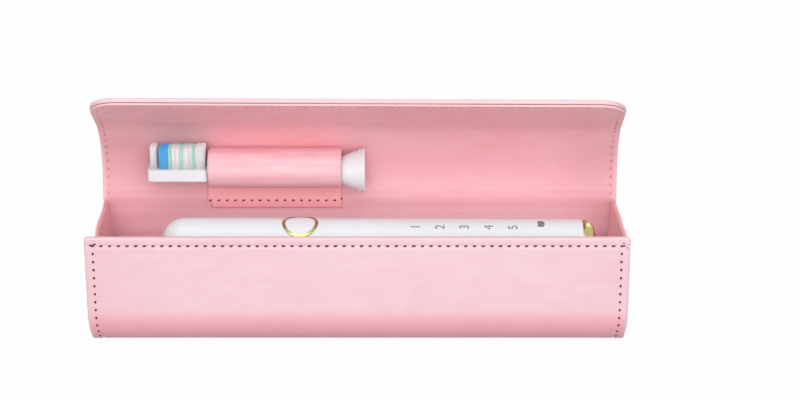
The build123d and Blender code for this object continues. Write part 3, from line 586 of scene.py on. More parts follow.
def sheet_between(name, inner, outer, sections, side):
    """A closed sheet: an inner patch, an outer patch and the sections that join them round the outline.

    Inner and outer are (inset, drop, x). Sections are (inset, drop, x) in order from inner to outer, and the
    top edge is closed by a rounded strip.
    """
    grids = []
    for inset, drop, x in (inner, outer):
        flat = patch(inset, drop)
        grids.append(np.dstack([x + lean(x, flat[..., 0], flat[..., 1], side), flat]))
    rows, columns = grids[0].shape[:2]
    size = rows * columns
    edge = [(r, 0) for r in range(rows - 1, 0, -1)] + [(0, c) for c in range(columns)]
    edge += [(r, columns - 1) for r in range(1, rows)]
    points = [grid.reshape(-1, 3) for grid in grids]
    faces = grid_faces(rows, columns) + grid_faces(rows, columns, size, flip=True)
    loops, start = [[r * columns + c for r, c in edge]], 2 * size
    for inset, drop, x in sections:
        line = u_outline(inset, drop)
        pinch = outer_draw_in(line) * smooth_step(x, PANEL_FACE, FLANGE_END - 1)
        points.append(np.c_[x + lean(x, line[:, 0], line[:, 1], side) - pinch, line])
        loops.append(list(range(start, start + len(edge))))
        start += len(edge)
    loops.append([size + i for i in loops[0]])
    for low, high in zip(loops, loops[1:]):
        faces += [(low[i], low[i + 1], high[i + 1], high[i]) for i in range(len(edge) - 1)]
    top, ridge = list(range(size - columns, size)), list(range(start, start + columns))
    points.append((grids[0][-1] + grids[1][-1]) / 2 + np.array([0, 0, 0.2]))
    for c in range(columns - 1):
        faces.append((top[c], ridge[c], ridge[c + 1], top[c + 1]))
        faces.append((ridge[c], size + top[c], size + top[c + 1], ridge[c + 1]))
    faces.append(tuple([loop[0] for loop in loops] + [ridge[0]]))
    faces.append(tuple([ridge[-1]] + [loop[-1] for loop in loops[::-1]]))
    all_points = np.concatenate(points) * [side, 1, 1]
    return new_object(name, all_points, faces if side > 0 else [f[::-1] for f in faces])


def end_leather(name, side):
    """The end panel: a face inside the case with a flange that turns out to the seam."""
    thick, gap = PANEL_THICK, WALL + 0.12
    turns = np.radians(np.linspace(15, 75, 4))
    turned = [(PANEL_BEND * (1 - sin(a)), PANEL_BEND * (1 - cos(a))) for a in turns]
    inner_bend = [(gap + inset, 0.0, PANEL_FACE + x) for inset, x in turned]
    outer_bend = [(gap + thick + inset, 0.0, PANEL_FACE + thick + x) for inset, x in turned]
    rim = [(0, 0.35), (0.12, 0.08), (0.4, 0), (thick - 0.4, 0), (thick - 0.1, 0.1), (thick, 0.4)]
    sections = inner_bend + [(gap, 0.0, PANEL_FACE + PANEL_BEND)]
    sections += [(gap + inset, 0.2, FLANGE_END - back) for inset, back in rim]
    sections += [(gap + thick, 0.0, PANEL_FACE + thick + PANEL_BEND)] + outer_bend[::-1]
    start = gap + PANEL_BEND + 0.1
    inner, outer = (start, 0.0, PANEL_FACE), (start + thick, 0.0, PANEL_FACE + thick)
    return sheet_between(name, inner, outer, sections, side)


def end_facing(name, side):
    """The thin lining glued to the inside of an end panel."""
    inset, outer, drop = WALL + 0.4, PANEL_FACE - 0.04, FACING_DROP
    inner = outer - FACING_THICK
    rim = [(0.15, inner + 0.12), (0.2, outer - 0.3), (0.12, outer)]
    sections = [(inset - out, drop, x) for out, x in rim]
    return sheet_between(name, (inset, drop, inner), (inset, drop, outer), sections, side)


left_panel, left_facing = end_leather("left_end_leather", -1), end_facing("left_end_facing", -1)
right_panel, right_facing = end_leather("right_end_leather", 1), end_facing("right_end_facing", 1)


# ---------------------------------------------------------------- brush loop
LOOP_OUT = np.array([cos(radians(LOOP_ANGLE)), sin(radians(LOOP_ANGLE))])
LOOP_UP = np.array([-sin(radians(LOOP_ANGLE)), cos(radians(LOOP_ANGLE))])
BRUSH_SAG = 1.2  # the head hangs in its loop this far below the loop's middle
LOOP_MIDDLE = np.array([BRUSH_Y, BRUSH_Z + BRUSH_SAG])
LOOP_LEATHER = 1.2
LOOP_RADIUS = 7.5  # middle of the leather, over the neck
LOOP_SLACK = 8.4  # the same under the neck
LOOP_FOOT = 6.0  # the upper end lies inside the loop
LOOP_TAB = 24.4  # free edge of the tab, down the lid from the level of the neck
LOOP_LEFT, LOOP_RIGHT = -64.6, -7.5
LOOP_THREAD_RISE = 3.6  # row of stitches above the tab's free edge
LOOP_WIDER = 1.5  # the tab above its stitches reaches this much further left than below them
LOOP_OVER = [(8.9, 2.6), (8.2, 4.1), (6.7, 5.3), (4.7, 6.3), (2.6, 7.1)]  # (out, up), foot to neck
LOOP_FOLD = [(3.0, -8.6), (5.4, -9.1), (7.0, -10.0), (7.8, -11.4)]  # (out, up), neck to tab


def smooth_line(corners, step):
    """A Catmull-Rom line through the corners, resampled evenly, with its normals."""
    corners = np.array(corners)
    ends = np.vstack([2 * corners[0] - corners[1], corners, 2 * corners[-1] - corners[-2]])
    dense = []
    for a, b, c, d in zip(ends, ends[1:], ends[2:], ends[3:]):
        for t in np.linspace(0, 1, 40, endpoint=False):
            square, cube = (2 * a - 5 * b + 4 * c - d) * t * t, (3 * b - a - 3 * c + d) * t**3
            dense.append(0.5 * (2 * b + (c - a) * t + square + cube))
    dense = np.array(dense + [corners[-1]])
    run = run_along(dense)
    places = np.linspace(0, run[-1], int(run[-1] / step) + 1)
    line = resample(dense, run, places)
    ways = unit_ways(line)
    return places, line, np.c_[-ways[:, 1], ways[:, 0]]


def on_lining(drop, lift):
    """A point (y, z) over the lining, at a drop along the lid below the level of the brush's axis."""
    place = LID_CURVE_AT + (LID_RADIUS + WALL / 2) * radians(LID_LEAN + LOOP_ANGLE) - drop
    return strip_point(0, place, -lift)[1:]


def from_loop(out, up):
    return LOOP_MIDDLE + LOOP_OUT * out + LOOP_UP * up


def loop_line():
    """The loop's middle line in (y, z), from the foot inside it, over the neck, down and along the lid."""
    lift = LOOP_LEATHER / 2 + 0.06
    foot = [on_lining(drop, lift) for drop in np.linspace(LOOP_FOOT, -0.6, 4)]
    turns = np.radians(np.linspace(92, 270, 11))
    neck = [(LOOP_RADIUS * cos(a), (LOOP_RADIUS if sin(a) > 0 else LOOP_SLACK) * sin(a)) for a in turns]
    tab = [on_lining(drop, lift) for drop in np.linspace(13.6, LOOP_TAB, 8)]
    return smooth_line(foot + [from_loop(*p) for p in LOOP_OVER + neck + LOOP_FOLD] + tab, 0.45)


def ribbon(name, line, normals, start, end, thickness, columns):
    """A strip of leather with rounded edges along a line in (y, z), from x start to x end at each place."""
    rings, count = [], len(line)
    ends = [(0, 0.35), (0, 0.8)] + [(i, 1.0) for i in range(count)] + [(count - 1, 0.8), (count - 1, 0.35)]
    steps = [-0.22, -0.12] + [0.0] * count + [0.12, 0.22]
    ways = np.c_[normals[:, 1], -normals[:, 0]]
    edge = np.radians(np.linspace(-60, 60, 5))
    for (i, girth), step in zip(ends, steps):
        x = start[i] + (end[i] - start[i]) * np.linspace(0, 1, columns)
        offs = thickness / 2 * girth
        right = [(end[i] + 0.3 * cos(a) - 0.15, -offs * sin(a)) for a in edge]
        left = [(start[i] - 0.3 * cos(a) + 0.15, offs * sin(a)) for a in edge]
        ring = np.array([(v, offs) for v in x] + right + [(v, -offs) for v in x[::-1]] + left)
        rings.append(np.c_[ring[:, 0], line[i] + ways[i] * step + normals[i] * ring[:, 1:]])
    return new_object(name, np.concatenate(rings), tube_faces(len(rings), len(rings[0])))


LOOP_PLACES, LOOP_LINE, LOOP_NORMALS = loop_line()
LOOP_RUN = LOOP_PLACES[-1]
THREAD_AT = LOOP_RUN - LOOP_THREAD_RISE
tab_share = smooth_step(LOOP_PLACES, LOOP_RUN - 17, LOOP_RUN - 11)
flap_share = smooth_step(LOOP_PLACES, THREAD_AT + 0.5, THREAD_AT + 1.2)
# Painted shade: the underside of the loop and its tab get a deeper coral tint for the shadow they lie in.
tab_painted_shade = smooth_step(LOOP_PLACES, LOOP_RUN - 22, LOOP_RUN - 15)
LOOP_START = LOOP_LEFT - 0.4 * tab_share - LOOP_WIDER * (tab_share - flap_share)
LOOP_START += 0.12 * np.sin(LOOP_PLACES * 0.21)
LOOP_END = LOOP_RIGHT - 0.2 * tab_share + 0.12 * np.sin(LOOP_PLACES * 0.17 + 1)
loop_leather = ribbon("loop_leather", LOOP_LINE, LOOP_NORMALS, LOOP_START, LOOP_END, LOOP_LEATHER, 61)
ring_size = len(loop_leather.data.vertices) // (len(LOOP_LINE) + 4)
point_attribute(loop_leather, "shade", np.repeat(np.r_[[0.0] * 2, tab_painted_shade, [1.0] * 2], ring_size))


def loop_run():
    """The row of stitches that holds the tab."""
    i = int(np.searchsorted(LOOP_PLACES, THREAD_AT))
    above_hinge = LINE[np.argmin(np.abs(PLACES - HINGE_AT - 4))]
    inward = np.sign(LOOP_NORMALS[-4] @ (above_hinge - LOOP_LINE[-4])) * LOOP_NORMALS[i]
    x = np.linspace(LOOP_START[i] + 1.2, LOOP_END[i] - 3.2, 16)
    face = LOOP_LINE[i] - inward * (LOOP_LEATHER / 2 - 0.15)
    ways, outs = np.tile([1.0, 0, 0], (len(x), 1)), np.tile(np.r_[0, -inward], (len(x), 1))
    spots = np.c_[x, np.full(len(x), face[0]), np.full(len(x), face[1])]
    return spots, ways, outs, STITCH_LENGTH, STITCH_WIDTH, 0.0


def loop_end_tacks():
    """Single stitches: two where the loop's upper end is sewn to the lining, one over the tab's edge."""
    foot, tab = (0.3, -0.1), (LOOP_TAB - LOOP_THREAD_RISE, LOOP_LEATHER + 0.02)
    runs = []
    for x, (drop, lift) in ((LOOP_LEFT - 0.6, foot), (LOOP_RIGHT + 0.1, foot), (LOOP_RIGHT - 0.45, tab)):
        spot = np.r_[x, on_lining(drop, lift)]
        out = np.r_[x, on_lining(drop, lift + 1.0)] - spot
        runs.append(([spot], [np.array([0.5, 0.0, 1.0])], [out], 1.1, 0.75, 0.0))
    return runs


loop_stitches = stitches("loop_stitches", [loop_run()] + loop_end_tacks())


# ---------------------------------------------------------------- bristles
BRISTLE = 0.14  # radius of a filament
TUFT_PITCH_X, TUFT_PITCH_Y = 1.9, 1.8
TUFT_RADIUS = 0.97
TUFT_RINGS = ((0.14, 3), (0.45, 7), (0.74, 11), (0.96, 14))  # share of the radius, filaments
HEAD_TOP = 1.9
BRUSH_TIP = node_box("brush_stem")[0][0]
ALL_ROWS, FRONT_ROWS, BACK_ROW = (0, 1, 2, 3, 4), (0, 1, 2, 3), (4,)
TUFTS = {  # from and to along the head, height and rows
    "white": [
        (1.3, 3.7, 10.1, ALL_ROWS),
        (10.4, 13.9, 9.5, FRONT_ROWS),
        (15.3, 19.1, 9.5, FRONT_ROWS),
        (20.7, 24.5, 10.1, ALL_ROWS),
    ],
    "blue": [(5.1, 8.7, 9.7, ALL_ROWS)],
    "mint": [
        (8.9, 10.2, 9.6, ALL_ROWS),
        (14.1, 15.1, 9.6, ALL_ROWS),
        (19.3, 20.5, 9.7, ALL_ROWS),
        (10.4, 13.9, 9.9, BACK_ROW),
        (15.3, 19.1, 9.9, BACK_ROW),
    ],
}


def filament(foot, lean_to, height):
    """One bristle: a thin tapered round rod with a rounded tip, in the brush's own (x, side, up)."""
    tapers = ((0.55, 1.0), (0.93, 0.92), (0.985, 0.6), (1.0, 0.15))  # share of the height, girth
    stations = [(-0.5, 1.0)] + [(share * height, girth) for share, girth in tapers]
    sides, points = 5, []
    for z, girth in stations:
        bend = (max(z, 0) / height) ** 1.6
        for k in range(sides):
            a = 2 * pi * k / sides
            x = foot[0] + lean_to[0] * bend + BRISTLE * girth * cos(a)
            side = foot[1] + lean_to[1] * bend + BRISTLE * girth * sin(a)
            points.append((x, side, HEAD_TOP + z))
    return points, tube_faces(len(stations), sides)


def bristle_field(name, places):
    """Round tufts of filaments in rows across the head, cut to a waved top."""
    parts = []
    for start, end, height, rows in places:
        columns = max(1, round((end - start) / TUFT_PITCH_X))
        squeeze = (end - start) / 2 / columns * 1.02
        for i in range(columns):
            x = start + (end - start) * (i + 0.5) / columns
            for j in rows:
                side = (j - (len(ALL_ROWS) - 1) / 2) * TUFT_PITCH_Y * 0.93
                top = height - 0.1 * (side + 4) + 0.12 * (i - (columns - 1) / 2)
                for ring, count in TUFT_RINGS:
                    for k in range(count):
                        a = 2 * pi * (k + RANDOM.uniform(-0.2, 0.2)) / count
                        foot = (x + squeeze * ring * cos(a), side + TUFT_RADIUS * ring * sin(a))
                        lean_to = (RANDOM.normal(0, 0.06), 0.1 * sin(a) + RANDOM.normal(0, 0.07))
                        parts.append(filament(foot, lean_to, top + RANDOM.normal(0, 0.08) - 0.12 * ring))
    points, faces = joined(parts)
    return new_object(name, points + [BRUSH_TIP, BRUSH_Y, BRUSH_Z], faces)


bristle_fields = {colour: bristle_field(colour + "_filaments", places) for colour, places in TUFTS.items()}


# ---------------------------------------------------------------- foam bed
FOAM_LOW, FOAM_HIGH = node_box("foam_bed")
RING_END = node_box("base_ring")[1][0]
FOAM_ROUND = 2.6  # soft roll of its upper edges
FOAM_UNDER = 8.2  # round of its lower edges, inside the bends under the case
FOAM_ENDS = 1.5  # room in the trough beyond the handle's ends


def foam_surface():
    """The insert's top: a half-round trough, soft upper edges and hollows where it is pressed."""
    radius = HANDLE_RADIUS + 0.35
    left, right = SHELL_LOW[0] - FOAM_ENDS, RING_END + FOAM_ENDS
    low, high = FOAM_LOW + [0.15, 0.15, 0.15], FOAM_HIGH - [0.15, 0.15, 0.05]
    x = np.r_[
        low[0] + np.array([0, 0.3, 0.8, 1.6, 2.6, 4.5]),
        np.arange(low[0] + 7, left - 2.2, 2.4),
        left + np.array([-1.5, -0.9, -0.4, 0, 0.05]),
        np.arange(left + 1.5, right - 1, 2.6),
        right + np.array([-0.05, 0, 0.5]),
        high[0] - np.array([2.0, 1.2, 0.6, 0.2, 0]),
    ]
    y = np.r_[
        low[1] + np.array([0, 0.3, 0.8, 1.6]),
        np.linspace(HANDLE_Y - radius - 0.2, HANDLE_Y + radius + 0.2, 45),
        np.arange(HANDLE_Y + radius + 0.9, high[1] - 2.6, 1.6),
        high[1] - np.array([2.4, 1.4, 0.7, 0.25, 0]),
    ]
    grid_x, grid_y = np.meshgrid(np.unique(np.round(x, 4)), np.unique(np.round(y, 4)), indexing="ij")
    margin = np.minimum.reduce([grid_x - low[0], high[0] - grid_x, grid_y - low[1], high[1] - grid_y])
    roll = np.clip(FOAM_ROUND - margin, 0, FOAM_ROUND)
    top = high[2] - (FOAM_ROUND - np.sqrt(np.maximum(FOAM_ROUND**2 - roll**2, 0)))
    away = np.abs(grid_y - HANDLE_Y)
    beside = (grid_x > left) & (grid_x < right)
    inside = beside & (away < radius)
    floor = HANDLE_Z - np.sqrt(np.maximum(radius**2 - away**2, 0))
    top -= 0.5 * bump(np.abs(radius * cos(0.46) - away), 0, 1.3) * beside
    top = np.where(inside, np.minimum(top, floor), top)
    top += 0.12 * waves(grid_x, grid_y, 11, 6) * smooth_step(margin, 1, 5) * ~inside
    return grid_x, grid_y, np.minimum(top, high[2]), low[2]


def foam_insert():
    """The foam insert: its shaped top, and an underside that is round along the case's two bends."""
    grid_x, grid_y, top, bottom = foam_surface()
    rows, columns = top.shape
    size = rows * columns
    lift = np.clip(FOAM_UNDER - (FOAM_HIGH[1] - np.abs(grid_y)), 0, FOAM_UNDER)
    under = bottom + FOAM_UNDER - np.sqrt(np.maximum(FOAM_UNDER**2 - lift**2, 0))
    points = np.concatenate([np.dstack([grid_x, grid_y, z]).reshape(-1, 3) for z in (top, under)])
    edge = [r * columns + c for c, r in grid_edge(columns, rows)]
    faces = grid_faces(rows, columns) + grid_faces(rows, columns, size, flip=True)
    return new_object("foam_insert", points, faces + band_faces(edge, [size + i for i in edge]))


foam_piece = foam_insert()


# ---------------------------------------------------------------- numbers and a gauge mark on the handle
MARK_TURN, GAUGE_TURN = 7.5, 0.5  # degrees from the button's side towards the front
MARK_HEIGHT = 4.0  # of a number
DIGIT_SHARE = 0.7  # a digit's height over the font's size
MARK_THICK = 0.05
MARK_X = [24.3 + 10.15 * i for i in range(5)]
GAUGE_X = 76.4
TAPER = 0.8  # the handle's radius shrinks this much towards its base
TAPER_START = SHELL_LOW[0] + 25.0


def wrap_on_handle(flat_points, x0, turn):
    """Flat points (across, up, thick) laid on the round of the handle at x0 and a turn in degrees."""
    x = x0 + flat_points[:, 0]
    radius = HANDLE_RADIUS - TAPER * np.clip((x - TAPER_START) / (SHELL_HIGH[0] - TAPER_START), 0, 1)
    angle = radians(90 + HANDLE_TILT + turn) - flat_points[:, 1] / radius
    reach = radius + flat_points[:, 2]
    return np.c_[x, HANDLE_Y + reach * np.cos(angle), HANDLE_Z + reach * np.sin(angle)]


def number_mark(text, x0):
    """A plain number from Blender's own font, as a thin print that follows the handle."""
    curve = bpy.data.curves.new("number", "FONT")
    curve.body = text
    curve.size = MARK_HEIGHT / DIGIT_SHARE
    curve.align_x = curve.align_y = "CENTER"
    curve.extrude = MARK_THICK
    holder = bpy.data.objects.new("number", curve)
    bpy.context.scene.collection.objects.link(holder)
    bpy.context.view_layer.update()
    mesh = bpy.data.meshes.new_from_object(holder.evaluated_get(bpy.context.evaluated_depsgraph_get()))
    shape = bmesh.new()
    shape.from_mesh(mesh)
    bmesh.ops.remove_doubles(shape, verts=shape.verts, dist=0.002)
    points = np.array([v.co for v in shape.verts])
    faces = [tuple(v.index for v in f.verts) for f in shape.faces]
    shape.free()
    bpy.data.objects.remove(holder)
    return wrap_on_handle(np.c_[-points[:, 1], points[:, 0], points[:, 2]], x0, MARK_TURN), faces


def bar_mark(x0, up0, width, height):
    """A small printed bar with some rows across, so that it follows the round."""
    steps, corners = np.linspace(-height / 2, height / 2, 7), ((-1, -1), (-1, 1), (1, 1), (1, -1))
    flat = [(sx * width / 2, up0 + v, sz * MARK_THICK) for v in steps for sx, sz in corners]
    return wrap_on_handle(np.array(flat), x0, GAUGE_TURN), tube_faces(len(steps), len(corners))


mark_parts = [number_mark(str(i + 1), x) for i, x in enumerate(MARK_X)]
mark_parts += [bar_mark(GAUGE_X, 1.0, 2.5, 4.6), bar_mark(GAUGE_X + 1.45, 1.0, 0.4, 2.0)]
marks = new_object("handle_marks", *joined(mark_parts), smooth=False)


# ---------------------------------------------------------------- materials
class Nodes:
    """A short way to write the node tree of a material or a world."""

    def __init__(self, owner, **values):
        owner.use_nodes = True
        self.owner, self.tree = owner, owner.node_tree
        self.shader = self.tree.nodes.get("Principled BSDF")
        for socket, value in values.items():
            self.shader.inputs[socket.replace("_", " ")].default_value = value
        if self.shader:
            self.place = self.add("ShaderNodeTexCoord").outputs["Object"]

    def put(self, socket, value):
        """A value, or another node's output, into a socket."""
        if isinstance(value, bpy.types.NodeSocket):
            self.tree.links.new(value, socket)
        else:
            socket.default_value = value

    def add(self, kind, inputs=None, **settings):
        node = self.tree.nodes.new(kind)
        for key, value in settings.items():
            setattr(node, key, value)
        for key, value in (inputs or {}).items():
            self.put(node.inputs[key], value)
        return node

    def scaled(self, size):
        """Object coordinates divided by a size in millimetres along each axis."""
        factors = [1 / (length * MM) for length in size]
        return self.add("ShaderNodeMapping", {"Vector": self.place, "Scale": factors}).outputs["Vector"]

    def noise(self, size, detail=3.0, rough=0.5, seed=0.0):
        inputs = {"Vector": self.scaled(size), "W": seed, "Scale": 1.0, "Detail": detail, "Roughness": rough}
        return self.add("ShaderNodeTexNoise", inputs, noise_dimensions="4D").outputs["Fac"]

    def cells(self, size):
        inputs = {"Vector": self.scaled(size), "Scale": 1.0}
        return self.add("ShaderNodeTexVoronoi", inputs).outputs["Distance"]

    def ramp(self, value, low, high, start=0.0, end=1.0):
        """Value between low and high, carried to start and end."""
        inputs = {"Value": value, "From Min": low, "From Max": high, "To Min": start, "To Max": end}
        return self.add("ShaderNodeMapRange", inputs).outputs["Result"]

    def maths(self, operation, a, b):
        return self.add("ShaderNodeMath", {0: a, 1: b}, operation=operation).outputs["Value"]

    def mix(self, share, a, b):
        """Two colours mixed by a share."""
        node = self.add("ShaderNodeMix", {"Factor": share}, data_type="RGBA")
        for socket, value in zip([s for s in node.inputs if s.type == "RGBA"], (a, b)):
            self.put(socket, (*value, 1.0) if isinstance(value, tuple) else value)
        return next(s for s in node.outputs if s.type == "RGBA")

    def attribute(self, name):
        return self.add("ShaderNodeAttribute", attribute_name=name).outputs["Fac"]

    def seen(self):
        """Is it a ray that is seen, straight or by a shiny or clear surface, and is it a diffuse one."""
        rays = self.add("ShaderNodeLightPath").outputs
        other = self.maths("MAXIMUM", rays["Is Glossy Ray"], rays["Is Transmission Ray"])
        return self.maths("MAXIMUM", rays["Is Camera Ray"], other), rays["Is Diffuse Ray"]

    def show(self, share, first, second):
        """Two shaders mixed by a share, as what the tree puts out."""
        output = next(node for node in self.tree.nodes if node.type.startswith("OUTPUT"))
        mixed = self.add("ShaderNodeMixShader", {"Fac": share, 1: first, 2: second})
        self.put(output.inputs["Surface"], mixed.outputs["Shader"])

    def finish(self, colour, rough, *bumps):
        """Colour, roughness and bumps, (height, distance in millimetres), the first one lowest."""
        self.put(self.shader.inputs["Base Color"], colour)
        self.put(self.shader.inputs["Roughness"], rough)
        below = {}
        for height, distance in bumps:
            inputs = {"Height": height, "Distance": distance * MM, "Strength": 1.0, **below}
            below = {"Normal": self.add("ShaderNodeBump", inputs).outputs["Normal"]}
        for normal in below.values():
            self.put(self.shader.inputs["Normal"], normal)
        return self.owner


def look(name, **values):
    return Nodes(bpy.data.materials.new(name + "_look"), **values)


def leather_look(name, light, deep, streak, edge=None, edge_share=0.7, shade=None, stretch=None):
    """Coated leather: a fine pebble, faint streaks along it, slow clouds, scuffs and pale cut edges."""
    m = look(name, Specular_IOR_Level=0.42)
    clouds = m.noise((60, 30, 30), 3.0, 0.6, 1.0)
    streaks = m.noise((24, 2.6, 2.6), 5.0, 0.6, 2.0)
    fine = m.noise((3.0, 0.34, 0.34), 3.0, 0.6, 3.0)
    scratches = m.ramp(m.noise((7.0, 0.5, 0.9), 2.0, 0.5, 3.5), 0.68, 0.74)
    pebble = m.cells((0.75, 0.55, 0.55))
    mottle = m.noise((8, 3.4, 3.4), 3.0, 0.65, 4.5)
    share = m.maths("ADD", m.ramp(clouds, 0.3, 0.7, 0.0, 0.5), m.ramp(streaks, 0.35, 0.68, 0.0, streak))
    share = m.maths("ADD", share, m.ramp(mottle, 0.38, 0.66, 0.0, 0.3))
    share = m.maths("ADD", share, m.ramp(pebble, 0.1, 0.6, 0.12, 0.0))
    share = m.maths("SUBTRACT", share, m.maths("MULTIPLY", scratches, 0.45))
    colour = m.mix(share, light, deep)
    # The "shade" and "stretch" tints paint light and shade: the lining's pale back wall is painted light, its
    # deeper ends and low lid are painted shade, the loop's tab tint is painted shade, and the cover's bends
    # are part stretched leather, part painted shade.
    for tone, most, tint in (("shade", 0.9, shade), ("stretch", 0.8, stretch)):
        if tint:
            colour = m.mix(m.ramp(m.attribute(tone), 0.0, 1.0, 0.0, most), colour, tint)
    if edge:
        colour = m.mix(m.ramp(m.attribute("rim"), 0.05, 0.6, edge_share, 0.0), colour, edge)
        colour = m.mix(m.attribute("groove"), colour, GROOVE)
    rough = m.ramp(m.maths("ADD", streaks, fine), 0.7, 1.3, 0.42, 0.60)
    bumps = (clouds, 0.2), (mottle, 0.05), (streaks, 0.04), (pebble, 0.045), (fine, 0.02), (scratches, 0.012)
    return m.finish(colour, rough, *bumps)


def thread_look(name, light, deep):
    """Twisted waxed thread: fine slanting strands and slightly uneven dye."""
    m = look(name, Specular_IOR_Level=0.35, Sheen_Weight=0.15)
    strands, dye = m.noise((0.35, 0.12, 0.5), 2.0, 0.5, 4.0), m.noise((4, 4, 4), 2.0, 0.5, 5.0)
    colour = m.mix(m.ramp(m.maths("ADD", strands, dye), 0.7, 1.3), deep, light)
    return m.finish(colour, m.ramp(strands, 0.3, 0.7, 0.5, 0.75), (strands, 0.08))


def plastic_look(name, light, deep, rough=0.3, grain=0.35, texture=0.012):
    """Moulded plastic: faint flow marks, a fine satin texture and a slightly uneven gloss."""
    m = look(name)
    flow, satin = m.noise((40, 9, 9), 2.0, 0.5, 6.0), m.noise((grain, grain, grain), 2.0, 0.5, 7.0)
    gloss = m.ramp(m.noise((7, 7, 7), 3.0, 0.5, 8.0), 0.3, 0.7, rough - 0.015, rough + 0.025)
    return m.finish(m.mix(m.ramp(flow, 0.35, 0.65), light, deep), gloss, (flow, 0.003), (satin, texture))


def metal_look(name, light, deep, rough=0.16, brushed=0.0):
    """Plated or bare metal: fine turning lines, slow tone changes and light smears."""
    m = look(name, Metallic=1.0)
    turning = m.noise((0.18, 6, 6), 3.0, 0.6, 9.0)
    both = m.maths("ADD", turning, m.noise((5, 5, 5), 3.0, 0.55, 10.0))
    gloss = m.ramp(both, 0.7, 1.3, rough - 0.03, rough + 0.08)
    return m.finish(m.mix(m.ramp(both, 0.7, 1.3), light, deep), gloss, (turning, 0.004 + brushed))


def foam_look(name, light, deep):
    """Flocked foam: short pile that catches light at its edges, with pressed patches."""
    m = look(name, Sheen_Weight=0.35, Sheen_Roughness=0.45, Specular_IOR_Level=0.2)
    pile, pressed = m.noise((0.22, 0.22, 0.22), 3.0, 0.7, 11.0), m.noise((9, 9, 9), 3.0, 0.55, 12.0)
    share = m.maths("ADD", m.ramp(pile, 0.3, 0.7, 0.0, 0.5), m.ramp(pressed, 0.35, 0.7, 0.0, 0.5))
    rough = m.ramp(pile, 0.3, 0.7, 0.85, 0.97)
    return m.finish(m.mix(share, light, deep), rough, (pressed, 0.2), (pile, 0.12))


def board_look(name, light, deep):
    """Grey board: pressed fibres with specks."""
    m = look(name, Specular_IOR_Level=0.2)
    fibre, speck = m.noise((2.6, 0.5, 0.5), 4.0, 0.65, 13.0), m.cells((1.3, 1.3, 1.3))
    share = m.maths("ADD", m.ramp(fibre, 0.3, 0.7, 0.0, 0.8), m.ramp(speck, 0.0, 0.12, 0.2, 0.0))
    return m.finish(m.mix(share, light, deep), m.ramp(fibre, 0.3, 0.7, 0.8, 0.95), (fibre, 0.08))


def bristle_look(name, root, tip):
    """Nylon filaments: slightly uneven in tone, with a soft pale sheen along their sides."""
    m = look(name, Specular_IOR_Level=0.45, Sheen_Weight=0.4)
    along = m.noise((0.8, 0.3, 0.3), 2.0, 0.5, 14.0)
    return m.finish(m.mix(m.ramp(along, 0.3, 0.7), root, tip), m.ramp(along, 0.3, 0.7, 0.32, 0.45))


GROOVE = (0.80, 0.49, 0.50)  # in the shade between two skins
# stretch: the deeper tint for stretched leather and painted shade at the bends and the front's ends
OUTER = dict(edge=(0.78, 0.53, 0.57), edge_share=0.6, stretch=(0.83, 0.36, 0.42))
# shade: painted light, the pale tint on the back wall; stretch: painted shade, the deeper tint low on the lid
# and towards the ends
INNER = dict(edge=(0.92, 0.55, 0.55), shade=(1.0, 0.735, 0.77), stretch=(0.76, 0.38, 0.42))
